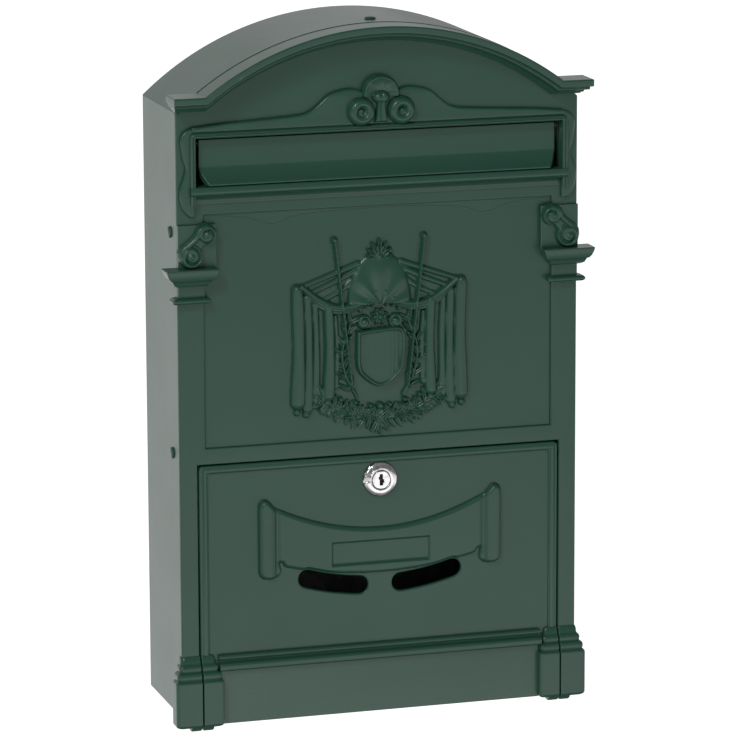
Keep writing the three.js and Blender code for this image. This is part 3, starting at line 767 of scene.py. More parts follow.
def lock_chrome():
    """Bright plating over polished brass, with fine wear from keys."""
    chrome = Finish("lock chrome", "lock_chrome")
    haze = chrome.noise(0.005, 4.0)
    wear = chrome.noise(0.0007, 2.0, (1, 1, 0.15))
    tone = chrome.mix(((haze - 0.35) * 3.0).clipped(), (0.74, 0.74, 0.74), (0.42, 0.40, 0.41))
    chrome.surface(Base_Color=tone, Metallic=1.0,
                   Roughness=(0.1 + haze * 0.12 + wear * 0.05).clipped(),
                   Normal=chrome.bump(wear, 0.000006))
    return chrome


def shaded_keyway():
    """Dull brass coloured near-black down in the keyway, as painted shade."""
    brass = Finish("keyway shade", "lock_chrome")
    keyway_mottle = brass.noise(0.001, 3.0)
    # Painted shade: the plug seen through the keyway is coloured near-black.
    brass.surface(Base_Color=brass.mix(keyway_mottle, (0.012, 0.01, 0.008), (0.03, 0.024, 0.014)),
                  Metallic=0.4, Roughness=(0.45 + keyway_mottle * 0.2).clipped())
    return brass


FINISH_MAKERS = {
    "steel": lambda: powder_coat("powder coat on steel", "painted_steel", 0.00002),
    "casting": lambda: powder_coat("powder coat on casting", "painted_casting", 0.00006),
    "galvanised": galvanised_sheet,
    "zinc": zinc_plate,
    "shade-dark zinc": shade_dark_zinc,
    "chrome": lock_chrome,
    "keyway": shaded_keyway,
}
made_finishes = {}


def finish(name):
    """A finish by its plain name, made once and then shared."""
    if name not in made_finishes:
        made_finishes[name] = FINISH_MAKERS[name]()
    return made_finishes[name]


def coat_node(node, finish_name):
    """Gives a node of the frame that stays in view its finish."""
    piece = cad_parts[node]
    material = finish(finish_name).material
    if not piece.material_slots:
        piece.data.materials.append(material)
    for slot in piece.material_slots:
        slot.material = material


# ---- Steel body ----------------------------------------------------------------------------------


def make_steel_body():
    """The sheet that is bent up both sides and over the arch."""
    wrap = open_strip(arch_points(0, BODY_FOOT), arch_points(SHEET, BODY_FOOT), -BODY_DEPTH, 0)
    finish_piece("steel_body", joined("steel_body", [wrap]), "housing", finish("steel"),
                 rounding=0.3, angle=30, stands_for=("body_wrap",))


RIVETS = {
    "side_rivet_left_upper": ((-BODY_HALF, RIVET_Y, RIVET_UPPER), (-1, 0, 0)),
    "side_rivet_left_lower": ((-BODY_HALF, RIVET_Y, RIVET_LOWER), (-1, 0, 0)),
    "side_rivet_right_upper": ((BODY_HALF, RIVET_Y, RIVET_UPPER), (1, 0, 0)),
    "side_rivet_right_lower": ((BODY_HALF, RIVET_Y, RIVET_LOWER), (1, 0, 0)),
    "crown_rivet": ((0, RIVET_Y, CROWN), (0, 0, 1)),
}


def make_rivets():
    """Painted dome rivets that hold the steel body to the casting's rim."""
    tail = -SHEET - FIT - RIM_WALL - FIT
    shank, seat = 2.0, FIT + 0.25
    profile = [(tail - 1.8, 0.4), (tail - 1.6, 2.1), (tail, 2.9), (tail + 0.01, shank),
               (FIT, shank), (FIT + 0.01, 3.5), (seat, 3.5)]
    profile += [(seat + 1.05 * sin(t), 3.4 * cos(t)) for t in np.linspace(0.2, 1.5, 7)]
    for node, (centre, out) in RIVETS.items():
        name = "painted_" + node
        part = turned(profile, centre, out, (0, 1, 0), 28)
        finish_piece(name, joined(name, [part]), "housing", finish("steel"), stands_for=(node,))


def make_bare_sheets():
    """Zinc for the back panel and the floor, which keep their drawn shapes."""
    for node in ("back_panel", "floor_pan"):
        coat_node(node, "galvanised")


# ---- Cast front ----------------------------------------------------------------------------------


def casting(name, parts, rounding=None, body="housing", **more):
    """One piece of the casting from closed parts; its edges take the user's radius by default."""
    if rounding is None:
        rounding = bpy.context.scene.mailbox_casting.edge / MM
    mesh = joined(name, parts)
    return finish_piece(name, mesh, body, finish("casting"), rounding=rounding, **more)


def cast_plate(name, outlines, front, back, rounding, body="housing", **more):
    """A plate of the casting, with the same round all along its edges."""
    return plate(name, outlines, front, back, body, finish("casting"), rounding, **more)


def frame_outline():
    """The front's own outline, with the doorway let in from its foot."""
    doorway = [(-OPENING_HALF, 0), (-OPENING_HALF, OPENING_TOP),
               (OPENING_HALF, OPENING_TOP), (OPENING_HALF, 0)]
    return [*arch_points(CAST_INSET, 0, CAST_HALF + CAST_INSET), *doorway]


def make_cast_front():
    """The plate, the raised border round the main panel, and everything behind them."""
    slot = rectangle(SLOT_HALF, SLOT_FOOT, SLOT_TOP)
    tall_slot = rectangle(SLOT_HALF, SLOT_FOOT, SLOT_TOP + UNDERCUT)
    panel = rectangle(PILASTER_INNER, PANEL_FOOT, PANEL_HEAD)
    cast_plate("cast_front", [frame_outline(), tall_slot], PANEL_FACE, CAST_BACK, 0.3,
               stands_for=("front_frame",))
    cast_plate("cast_border", [frame_outline(), slot, panel], CAST_FACE, PANEL_FACE + 0.6, 0.9)
    inset = SHEET + FIT
    rim_foot = BODY_FOOT + SHEET + 0.4
    rooted = CAST_BACK - 1
    rim = open_strip(arch_points(inset, rim_foot), arch_points(inset + RIM_WALL, rim_foot),
                     rooted, CAST_BACK + RIM_DEPTH)
    half, wall, depth = SLOT_HALF, 2.6, (rooted, CAST_BACK + 10.4)
    low, high = SLOT_FOOT, SLOT_TOP + UNDERCUT
    collar = [block((-half - wall, half + wall), depth, (low - wall, low)),
              block((-half - wall, half + wall), depth, (high, high + wall))]
    collar += [block(sorted((side * half, side * (half + wall))), depth, (low - 0.1, high + 0.1))
               for side in (-1, 1)]
    flap_half = half - 6.6
    stop = block((-flap_half, flap_half), (CAST_FACE - 1.7, CAST_BACK), (low - 1, low + 1.8))
    keeper = block((-60, 60), (rooted, BARREL_END), (OPENING_TOP + 1.8, OPENING_TOP + 5.3))
    rib = OPENING_TOP + 0.6
    stops = [block(sorted((side * 20, side * 108)), (front, CAST_BACK + 3), (foot, rib + 3.2))
             for side in (-1, 1)
             for front, foot in ((rooted, rib), (CAST_BACK + 0.5, DOOR_TOP - 4.4))]
    casting("cast_rear", [rim, *collar, stop, keeper, *stops])


# The cornice's section, from its top edge down: (how far in from the outline, depth).
CORNICE = [
    (0.0, 15.0), (0.15, 15.6), (0.6, 16.1), (3.5, 16.1), (4.1, 15.8), (4.4, 15.2),
    (4.5, 12.6), (4.9, 12.1), (5.5, 12.3), (6.2, 12.1), (6.6, 11.4), (6.7, 9.2), (7.1, 7.4),
    (7.9, 6.2), (8.5, 5.8), (8.7, 5.2), (8.8, 3.4), (9.3, 3.1), (9.8, 2.6), (9.9, -1.0),
]
EAR_SPREAD = 4.6 / 16.1
CORNICE_STEPS = 96


def make_cornice():
    """The moulding that runs over the arch and turns level into an ear at each side."""
    profile = [(0.0, CAST_FACE - CAST_BACK), *CORNICE]
    outer = ARCH_RADIUS - CAST_INSET
    rise = EAR_TOP - ARCH_CENTRE
    start = [acos(sqrt((outer - t) ** 2 - (rise - t) ** 2) / (outer - t)) for t, _ in profile]
    rings = []
    for share in (k / CORNICE_STEPS for k in range(CORNICE_STEPS + 1)):
        ring = []
        for (t, depth), begin in zip(profile, start):
            angle = begin + (pi - 2 * begin) * share
            radius = outer - t
            ring.append((radius * cos(angle), CAST_FACE - depth, ARCH_CENTRE + radius * sin(angle)))
        rings.append(ring)
    ears = []
    for side in (1, -1):
        tip = [(side * (CAST_HALF + EAR_SPREAD * max(depth, 0)), CAST_FACE - depth, EAR_TOP - t)
               for t, depth in profile]
        ears.append(([(x, CAST_BACK, z) for x, _, z in tip], tip))
    (right_back, right_tip), (left_back, left_tip) = ears
    casting("cornice", [ring_loft([right_back, right_tip, *rings, left_tip, left_back])],
            rounding=0.35, angle=32)


# The hood's upper edge, from its right end to the middle: (sideways, drawn height).
HOOD_EDGE = [
    (112.3, 354.5), (94.5, 356.2), (74, 357.3), (54, 358.5), (46, 359.4), (41.7, 361), (38, 363.6),
    (34.2, 367), (30.8, 369.7), (26.7, 371.3), (21.5, 372.4), (16.9, 372.7), (12.5, 371.6),
    (9.5, 370.2),
]
HOOD_FACE = CAST_FACE - 3.1


def make_hood():
    """The hood that swells up over the slot."""
    right = flowing([(x, z - DRAWN_CROWN + CROWN) for x, z in HOOD_EDGE], 5)
    foot, half = SLOT_TOP + 3, HOOD_EDGE[0][0]
    outline = [(half, foot), *right, *[(-x, z) for x, z in reversed(right)], (-half, foot)]
    cast_plate("hood", [outline], HOOD_FACE, CAST_FACE + 0.5, 1.4)


def make_hood_ornament():
    """The shell niche, the two scrolls and the keystone in the middle of the hood."""
    patch = Patch((-24, 24), (SLOT_TOP + 3.8, SLOT_TOP + 34), relief_step(0.75))
    scroll_x, scroll_z = 12.1, SLOT_TOP + 11.6
    shell_z = SLOT_TOP + 21.4
    rho = patch.away_from(0, shell_z)
    fan = np.arctan2(patch.z - shell_z, patch.x)
    above = patch.z > shell_z - 1.5
    scoop = 0.2 + 2.4 * (rho / 9) ** 2 + 0.1 * np.cos(fan * 10) * np.clip(rho / 7, 0, 1)
    patch.raise_to(np.where(above & (rho < 9.4), scoop, 0))
    patch.raise_to(np.where(above, cord_ridge(rho - 9.6, 1.2, 3.0), 0))
    for side in (-1, 1):
        ring = patch.away_from(side * scroll_x, scroll_z)
        patch.raise_to(cord_ridge(ring - 5.0, 3.3, 5.4))
        volute(patch, side * scroll_x, scroll_z, 3.4, 3.6, -side, 1.1, 0.6)
    bulb = np.hypot(patch.x / 5.4, (patch.z - SLOT_TOP - 19.4) / 3.9) - 1
    patch.raise_to(pillow(bulb * 4, 4.6, 3.6) * (1 - 0.22 * np.exp(-((patch.x / 1.2) ** 2))))
    stem = patch.polygon([(-3.9, SLOT_TOP + 5), (3.9, SLOT_TOP + 5),
                          (2.4, SLOT_TOP + 18), (-2.4, SLOT_TOP + 18)])
    patch.raise_to(pillow(stem, 3.0, 1.4) * (1 - 0.3 * np.exp(-((patch.x / 0.8) ** 2))))
    relief("hood_ornament", patch, HOOD_FACE, "housing", sunk=4.0)


# The outer edge of the cheek at each end of the slot, from its top: (sideways, drawn height).
SIDE_SCROLL = [
    (113.6, 354), (117.6, 351.5), (119.1, 347), (118.4, 340.5), (117.5, 335), (116.3, 331),
    (117.2, 326), (119.0, 321), (119.8, 316.5), (119.6, 312.4), (117.8, 306.5), (114.3, 302.4),
]


def make_slot_bead():
    """The bead up both sides of the slot and over it, grooved along its middle."""
    half_width, groove = 1.7, 0.55
    rounded = [(s, BEAD_FACE + 1.3 * (abs(s) / half_width) ** 4 + (groove if abs(s) < 0.22 else 0))
               for s in np.linspace(-half_width, half_width, 17)]
    section = [(-half_width, CAST_FACE + 1), *rounded, (half_width, CAST_FACE + 1)]
    centre = SLOT_HALF + half_width
    head = SLOT_TOP + 2.1
    corner = 1.4
    turn = [(centre - corner + corner * cos(a), head - corner + corner * sin(a))
            for a in np.linspace(0, pi / 2, 6)]
    path = [(centre, SILL_FOOT), *turn, *[(-x, z) for x, z in reversed(turn)], (-centre, SILL_FOOT)]
    casting("slot_bead", [swept(path, section)], rounding=0)


def make_slot_sill():
    """The sill under the slot: a step, a cove and a round nose."""
    back, step = CAST_FACE + 1, CAST_FACE - 0.9
    cove = [(step - 4.6 * (1 - cos(a)), SILL_FOOT + 1.4 + 4.0 * sin(a))
            for a in np.linspace(0, pi / 2, 8)]
    nose = [(BEAD_FACE - sin(a), SILL_FOOT + 7.2 - 1.4 * cos(a)) for a in np.linspace(0, pi / 2, 6)]
    sill = [(back, SILL_FOOT), (step, SILL_FOOT), *cove, *nose,
            (BEAD_FACE - 1.0, SLOT_FOOT - 1.6), (BEAD_FACE - 0.2, SLOT_FOOT - 0.2),
            (BEAD_FACE + 1, SLOT_FOOT), (back, SLOT_FOOT)]
    casting("slot_sill", [run_through(sill, -BEAD_OUTER, BEAD_OUTER)])


def make_slot_cheeks():
    """The scrolled cheek at each end of the slot."""
    for side, name in ((-1, "left"), (1, "right")):
        outer = flowing([(side * x, z - DRAWN_CROWN + CROWN) for x, z in SIDE_SCROLL], 6)
        inner = side * (SLOT_HALF + 0.4)
        outline = [(inner, outer[0][1]), *outer, (inner, outer[-1][1])]
        cast_plate(f"slot_cheek_{name}", [outline], CAST_FACE - 3.0, CAST_FACE + 0.9, 1.6)


def make_valance():
    """A shallow scalloped edge across the head of the main panel."""
    half = 103.5
    right = flowing([(half, 302.4), (93, 302), (81, 300.6), (74, 298.8), (68, 296.8), (62, 296.2),
                     (57, 297.8), (52, 299.6), (40, 301.0), (24, 301.8), (0, 302)], 6)
    edge = [*right, *[(-x, z) for x, z in reversed(right[:-1])]]
    outline = [(half, PANEL_HEAD + 1), *edge, (-half, PANEL_HEAD + 1)]
    cast_plate("valance", [outline], PANEL_FACE - 0.4, PANEL_FACE + 0.6, 0.38)


CAPITAL_HEAD = SLOT_FOOT - 47.2
CAPITAL_BLOCK = 2.1


def make_capitals():
    """Over each pilaster: an astragal, a bell-shaped abacus and a block."""
    head = CAPITAL_HEAD
    abacus = [
        (head - 11, 0.2, 0.2, 0.5), (head - 10.2, 1.2, 1.6, 3.4), (head - 9.2, 1.9, 3.1, 5.4),
        (head - 7.2, 2.6, 4.2, 6.1), (head - 6.6, 3.6, 4.6, 6.6), (head - 6.3, 4.6, 5.4, 7.6),
        (head - 4.6, 5.5, 6.8, 8.4), (head - 2.2, 6.4, 7.9, 9.0), (head - 0.5, 6.9, 8.4, 9.1),
        (head, 6.8, 8.2, 8.9)]
    neck = [(head - 18, 0, -0.1, 1.2), (head - 10, 0, -0.1, 1.2)]
    astragal = [(head - 21, 0.4, 0.6, 0.6)]
    astragal += [(head - 19 + 1.7 * sin(a), 1.2 + 1.8 * cos(a), 1.9 + 2.1 * cos(a),
                  2.8 + 2.3 * cos(a)) for a in np.linspace(-1.4, 1.4, 9)]
    astragal += [(head - 17, 0.4, 0.6, 0.6)]
    block_levels = [(head - 1, 0, 0, CAPITAL_BLOCK), (head + 25, 0, 0, CAPITAL_BLOCK)]
    solid = [*both(rounded_stack(PILASTER_INNER, CAST_HALF, CAST_BACK, abacus)),
             *both(rounded_stack(PILASTER_INNER, CAST_HALF, CAST_BACK, neck)),
             *both(rounded_stack(PILASTER_INNER, CAST_HALF, CAST_BACK, astragal, 0.9, 0.9)),
             *both(rounded_stack(PILASTER_INNER - 7, CAST_HALF, CAST_FACE + 1, block_levels))]
    casting("capitals", solid, rounding=0.3, angle=35)


def make_capital_scrolls():
    """The S-scroll on the block of each capital."""
    head = CAPITAL_HEAD
    for side, name in ((-1, "left"), (1, "right")):
        patch = Patch(sorted((side * 96, side * 123)), (head + 0.1, head + 28), relief_step(0.7))
        upper = (side * (PILASTER_INNER - 0.8), head + 19.5)
        lower = (side * (PILASTER_INNER + 8.9), head + 7.3)
        band, _ = patch.line(flowing([
            (upper[0], upper[1] + 4.2), (upper[0] + side * 4, upper[1] + 2.6),
            (upper[0] + side * 6, upper[1] - 1.4), (lower[0] + side * 0.5, lower[1] + 7),
            (lower[0] + side * 4.6, lower[1] + 3.6), (lower[0] + side * 5.2, lower[1])], 6))
        patch.raise_to(cord_ridge(band, 2.3, 4.3))
        web = patch.polygon([
            (upper[0] - side, upper[1] - 3), (upper[0] + side * 5, upper[1]),
            (lower[0] + side * 3, lower[1] + 4), (lower[0] - side * 5, lower[1] + 2)])
        patch.raise_to(pillow(web, 2.6, 1.4))
        volute(patch, *upper, 6.0, 4.4, side, 1.5, 0.4)
        volute(patch, *lower, 7.2, 5.6, -side, 1.6, 2.6)
        relief(f"capital_scroll_{name}", patch, CAST_FACE - CAPITAL_BLOCK, "housing", sunk=2.6)


# The plinth's and the base's outline, from the foot up: (height, spread sideways, depth).
PLINTH_LEVELS = [
    (0.0, 3.4, 5.0), (0.7, 4.4, 6.1), (1.8, 5.0, 6.7), (26.6, 5.0, 6.7), (27.6, 4.7, 6.4),
    (28.0, 4.0, 5.8), (28.5, 3.5, 5.3), (29.5, 3.9, 5.7), (30.8, 4.0, 5.8), (32.1, 3.7, 5.5),
    (32.9, 2.9, 4.7), (33.3, 2.0, 3.7), (34.3, 2.3, 4.0), (35.6, 2.4, 4.1), (36.8, 2.0, 3.7),
    (37.5, 1.2, 2.6), (38.2, 1.0, 2.0), (40.2, 0.9, 1.7), (41.4, 0.6, 1.2), (42.2, 0.1, 0.3),
]


def make_plinths():
    """Rounded plinth blocks and moulded bases under the pilasters, with the hinge bosses."""
    levels = [(z, 0.0, spread, depth) for z, spread, depth in PLINTH_LEVELS]
    part = rounded_stack(OPENING_HALF, CAST_HALF, CAST_BACK, levels, 0.5, 2.4)
    boss = hinge_boss(OPENING_HALF)
    casting("plinths", [*both(part), *both(boss)], rounding=0, angle=28)


def hinge_boss(x_from):
    """A round boss on the hinge's axis, with its inner end at x."""
    radius, edge, length = BOSS_RADIUS, 0.7, BOSS_LENGTH
    profile = [(0, radius - edge), (0.2, radius - 0.3), (edge, radius), (length - edge, radius),
               (length - 0.2, radius - 0.3), (length, radius - edge)]
    return turned(profile, (x_from, HINGE_Y, HINGE_Z), (1, 0, 0), (0, 0, 1), 40)


# ---- Crest ---------------------------------------------------------------------------------------


def fold(patch, x, z_low, z_high, radius, height):
    """One hanging fold: a half-round column with round ends that flares a little at its foot."""
    t = np.clip((patch.z - z_low) / (z_high - z_low), 0, 1)
    wide = radius * (1.1 - 0.24 * t + 0.06 * np.sin(t * 9 + x))
    outside = np.maximum(z_low - patch.z, patch.z - z_high)
    lean = -np.sign(x) * 1.6 * (1 - t) * t * 2
    away = np.hypot(patch.x - x - lean, np.maximum(outside, 0))
    patch.raise_to(cord_ridge(away / wide, 1.0, height))


def crest_canopy(patch, middle, tall):
    """A ribbed shell over the drapery, and the three cords that fall from it at each side."""
    crown = middle + 24
    dome = np.hypot(patch.x / 19.5, (patch.z - crown + 12) / 30) - 1
    ribs = 0.9 + 0.1 * np.cos(np.arctan2(patch.x, patch.z - crown + 14) * 9)
    patch.raise_to(np.where(patch.z > crown - 13, pillow(dome * 16, tall, 9) * ribs, 0))
    for side in (-1, 1):
        for k, (reach, drop) in enumerate(((50, 0), (43, 3.5), (35, 8))):
            ridge, along = patch.line(flowing([
                (side * 13, crown + 11 - 3.4 * k), (side * (reach * 0.6), crown + 5 - drop),
                (side * reach, crown - 2 - drop)], 8))
            patch.raise_to(cord_ridge(ridge, 2.0 - 0.5 * along, (0.5 - 0.12 * k) * tall))


# The folds at each side: (sideways, foot and head over the middle, radius, share of the height).
FOLDS = [
    (49.8, -45, 20, 4.2, 1.0), (43.8, -49, 16, 3.1, 0.66), (39.0, -44, 12, 2.4, 0.5),
    (31.2, -42, 11, 3.5, 1.0), (26.8, -37, 4, 1.9, 0.5),
]


def crest_drapery(patch, middle, tall):
    """Three swags at each side, the folds that hang under them, and a rod behind."""
    for side in (-1, 1):
        for k in range(3):
            sag = flowing([(side * (47 - 1.5 * k), middle + 23 - 2.2 * k),
                           (side * 36, middle + 14.5 - 1.9 * k), (side * 25, middle + 10 - 1.6 * k),
                           (side * 12, middle + 11.5 - 1.2 * k),
                           (side * 1.5, middle + 19 - 1.2 * k)], 8)
            hem, _ = patch.line(sag)
            patch.raise_to(cord_ridge(hem, 1.9 - 0.25 * k, (0.9 - 0.16 * k) * tall))
        knob(patch, side * 50, middle + 21.5, 3.4, tall)
        knob(patch, side * 31.2, middle + 11, 2.6, 0.95 * tall)
        for offset, low, high, radius, height in FOLDS:
            fold(patch, side * offset, middle + low, middle + high, radius, height * tall)
        for offset, low in ((50.2, -51), (44.6, -52.5), (31.4, -46.5)):
            knob(patch, side * offset, middle + low, 2.3, 0.7 * tall)
        rod, _ = patch.line([(side * 27, middle + 48), (side * 17, middle - 38)])
        patch.raise_to(cord_ridge(rod, 1.05, 0.95 * tall))
        knob(patch, side * 27.2, middle + 49.5, 2.1, tall)


def crest_palms(patch, middle, tall):
    """A palm spray at each side of the shield."""
    for side in (-1, 1):
        for k in range(7):
            rise = k / 6
            stem_x = side * (17.5 + 5.2 * sin(pi * rise))
            stem_z = middle - 40 + 40 * rise
            lean = 90 - side * (30 - 52 * rise)
            for spread, height in ((34, 0.7 + 0.2 * (k % 2)), (-34, 0.85 - 0.15 * (k % 2))):
                leaf(patch, stem_x, stem_z, lean + spread, 9.5 - 2.0 * rise, 2.0, height * tall)
        stem, _ = patch.line(flowing([(side * 14, middle - 44), (side * 21, middle - 30),
                                      (side * 22.8, middle - 16), (side * 18, middle - 1)], 8))
        patch.raise_to(cord_ridge(stem, 1.0, 0.6 * tall))


def crest_shield(patch, middle, tall):
    """The plain shield, rimmed, and fluted along both sides."""
    shield = [(-14.2, middle - 5), (0, middle - 3.6), (14.2, middle - 5), (14.4, middle - 24),
              (10.8, middle - 32), (0, middle - 38.5), (-10.8, middle - 32), (-14.4, middle - 24)]
    edge = patch.polygon(flowing([*shield, shield[0]], 5))
    pitch, plain_half = 2.6, 6.4
    flutes = 0.5 * (1 - np.cos(patch.x * 2 * pi / pitch))
    flutes *= np.clip((np.abs(patch.x) - plain_half) / 0.8, 0, 1)
    patch.raise_to(pillow(edge, 0.62 * tall, 2.0) - np.where(edge < -2.4, 0.42 * flutes, 0))
    patch.raise_to(cord_ridge(edge + 1.2, 1.3, 0.95 * tall))


def crest_rosette(patch, middle, tall):
    """A rosette over the shield, with a small scroll and three beads at each side."""
    rosette = middle + 3
    for k in range(8):
        leaf(patch, 0, rosette, 45 * k + 22.5, 5.6, 1.9, 0.85 * tall)
    knob(patch, 0, rosette, 2.1, tall)
    for side in (-1, 1):
        volute(patch, side * 9.6, rosette - 2.6, 4.4, 0.85 * tall, side, 1.3, 1.0)
        for k in range(3):
            knob(patch, side * (4.4 + 3.6 * k), rosette + 7.2 - 0.7 * k * k, 1.35, 0.8 * tall)


def crest_finial(patch, middle, tall):
    """A fan of leaves at the very top."""
    foot = middle + 38
    for k in range(-3, 4):
        leaf(patch, 0, foot, 90 + k * 27, 11.5 - 1.1 * abs(k), 2.3, 0.95 * tall)
    knob(patch, 0, foot, 2.8, 0.95 * tall)


def crest_garland(patch, middle, tall):
    """A leafy garland along the foot, with berries."""
    rng = np.random.default_rng(4)
    for side in (-1, 1):
        garland = flowing([(0, middle - 58), (side * 13, middle - 56), (side * 25, middle - 51),
                           (side * 35, middle - 43)], 4)
        for k, (gx, gz) in enumerate(garland):
            for turn in (-62, 0, 62):
                angle = 90 - side * (8 + 5.5 * k) + turn + rng.uniform(-9, 9)
                leaf(patch, gx, gz, angle, rng.uniform(6.5, 9.0), 2.1, rng.uniform(0.5, 0.9) * tall)
            leaf(patch, gx, gz, 270 + side * 22 + rng.uniform(-24, 24), rng.uniform(6, 8.6), 2.0,
                 rng.uniform(0.4, 0.7) * tall)
        for k in range(3):
            knob(patch, side * (6 + 9 * k), middle - 49.5 + 2.4 * k, 1.5, 0.95 * tall)
    for k in range(3):
        leaf(patch, 0, middle - 57, 270 + (k - 1) * 32, 10.5, 2.3, 0.72 * tall)
    knob(patch, 0, middle - 50, 2.4, tall)


def make_crest():
    """A plain draped crest of swags, folds, a ribbed shield, palm sprays and foliage."""
    tall = bpy.context.scene.mailbox_casting.crest_height / MM
    middle = (PANEL_FOOT + PANEL_HEAD) / 2
    patch = Patch((-60, 60), (middle - 69, middle + 64), relief_step())
    for draw in (crest_canopy, crest_drapery, crest_palms, crest_shield, crest_rosette,
                 crest_finial, crest_garland):
        draw(patch, middle, tall)
    relief("crest", patch, PANEL_FACE, "housing")


# ---- Letter flap ---------------------------------------------------------------------------------


LIP_THROW = 6.4
LIP_TAPER = 4.5


def make_letter_flap():
    """The plate over the slot, hung from a barrel, with a flared lip along its foot."""
    back = FLAP_FACE + 2.0
    lip_top, lip_foot = SLOT_FOOT + 11, SLOT_FOOT + 0.4
    lip_face = FLAP_FACE - LIP_THROW
    top = FLAP_AXIS_Z + 2.2
    sweep = [(FLAP_FACE - LIP_THROW * t**1.5, lip_top - (lip_top - lip_foot - 1) * t)
             for t in np.linspace(0, 1, 8)]
    section = [(FLAP_FACE, top), *sweep, (lip_face + 0.3, lip_foot), (lip_face + 2.5, lip_foot)]
    section += [(back - 0.4 - 3.2 * t, lip_top - 0.8 - 8 * t) for t in (0.7, 0.35, 0.0)]
    section += [(back, top)]

    def reach(y):
        return FLAP_HALF - LIP_TAPER * max(0.0, min(1.0, (FLAP_FACE - y) / LIP_THROW))

    flap_plate = ring_loft([[(side * reach(y), y, z) for y, z in section] for side in (-1, 1)])
    bore, radius, length = 1.7, 2.5, 2 * FLAP_HALF
    barrel = turned([(0, bore), (0, radius), (length, radius), (length, bore)],
                    (-FLAP_HALF, FLAP_AXIS_Y, FLAP_AXIS_Z), (1, 0, 0), (0, 0, 1), 28)
    web = block((-FLAP_HALF, FLAP_HALF), (back - 0.5, FLAP_AXIS_Y), (FLAP_AXIS_Z - 1.6, top))
    casting("flap_leaf", [flap_plate, barrel, web], rounding=0.35, body="flap", angle=32,
            stands_for=("letter_flap",))


def make_flap_hardware():
    """Zinc darkened with painted shade for the rod and the two clips that the flap hangs on."""
    for node in ("flap_rod", "flap_clip_left", "flap_clip_right"):
        coat_node(node, "shade-dark zinc")


# ---- Lower door ----------------------------------------------------------------------------------

VIEW_ARC_CENTRE = DOOR_TOP + 76.2
VIEW_ARC_RADIUS = 155.0
VIEW_HALF = 5.4
VIEW_NEAR, VIEW_FAR = 12.7, 44.6


def viewing_slot(side):
    """Outline of a curved slot with round ends, on an arc whose centre is over the door."""
    near, far = (-pi / 2 + side * asin(end / VIEW_ARC_RADIUS) for end in (VIEW_NEAR, VIEW_FAR))

    def at(angle, radius):
        return radius * cos(angle), VIEW_ARC_CENTRE + radius * sin(angle)

    def cap(angle, outward):
        x, z = at(angle, VIEW_ARC_RADIUS)
        return [(x + VIEW_HALF * cos(outward + side * t), z + VIEW_HALF * sin(outward + side * t))
                for t in np.linspace(0, pi, 12)[1:-1]]

    upper = [at(a, VIEW_ARC_RADIUS + VIEW_HALF) for a in np.linspace(near, far, 16)]
    lower = [at(a, VIEW_ARC_RADIUS - VIEW_HALF) for a in np.linspace(far, near, 16)]
    return [*upper, *cap(far, far), *lower, *cap(near, near + pi)]


def door_outline():
    """The door's own outline, with its two upper corners round."""
    corner = 2.6
    turn = np.linspace(0, pi / 2, 7)
    x, z = DOOR_HALF - corner, DOOR_TOP - corner
    return [(-DOOR_HALF, 0), (DOOR_HALF, 0),
            *[(x + corner * cos(a), z + corner * sin(a)) for a in turn],
            *[(-x - corner * sin(a), z + corner * cos(a)) for a in turn]]


def make_door():
    """The drop-down door's plate, and the raised border round its field."""
    lock_hole = circle(LOCK_BORE, 0, LOCK_Z, 40)
    cast_plate("door_leaf", [door_outline(), lock_hole, viewing_slot(-1), viewing_slot(1)],
               FIELD_FACE, CAST_BACK, 0.95, "door", stands_for=("door_panel",))
    field_foot = LEDGE_TOP - 3
    lift, tall = (FIELD_TOP + field_foot) / 2, (FIELD_TOP - field_foot) / 2
    field = [(x, z + lift) for x, z in rectangle(FIELD_HALF, -tall, tall, 1.6)]
    cast_plate("door_border", [door_outline(), field], CAST_FACE - 0.1, FIELD_FACE + 0.9, 0.8,
               "door")


def make_door_ledge():
    """The moulded ledge, the kick strip under it, and the stiffening rim behind the door."""
    kick_half, ledge_half = PLINTH_INNER + 1, PLINTH_INNER + 2
    kick = block((-kick_half, kick_half), (CAST_FACE - 1.3, CAST_BACK), (0, LEDGE_FOOT + 1.5))
    root, front = CAST_FACE + 1, CAST_FACE - 4.4
    small, large = 1.5, 1.7
    upper = [(CAST_FACE - 0.9 - small * sin(a), LEDGE_TOP - small + small * cos(a))
             for a in np.linspace(0, pi, 9)]
    lower = [(front + large - large * sin(a), LEDGE_TOP - 6.2 + large * cos(a))
             for a in np.linspace(0, pi / 2, 6)]
    ledge = [(root, LEDGE_TOP), *upper, (CAST_FACE - 1.0, LEDGE_TOP - 3.9), *lower,
             (front, LEDGE_FOOT + 0.9), (front + 0.8, LEDGE_FOOT), (root, LEDGE_FOOT)]
    rim_half, rim_foot, rim_head, wall = DOOR_HALF - 3.8, 12, DOOR_TOP - 8.4, 2
    gap_for_lock = 13.4
    depth = (CAST_BACK - 1, CAST_BACK + 5.4)
    rim = [block((-rim_half, rim_half), depth, (rim_foot, rim_foot + wall))]
    for side in (-1, 1):
        upright = sorted((side * (rim_half - wall), side * rim_half))
        head = sorted((side * gap_for_lock, side * rim_half))
        rim += [block(upright, depth, (rim_foot, rim_head)),
                block(head, depth, (rim_head - wall, rim_head))]
    casting("door_ledge", [kick, run_through(ledge, -ledge_half, ledge_half), *rim],
            body="door", rounding=0.5)


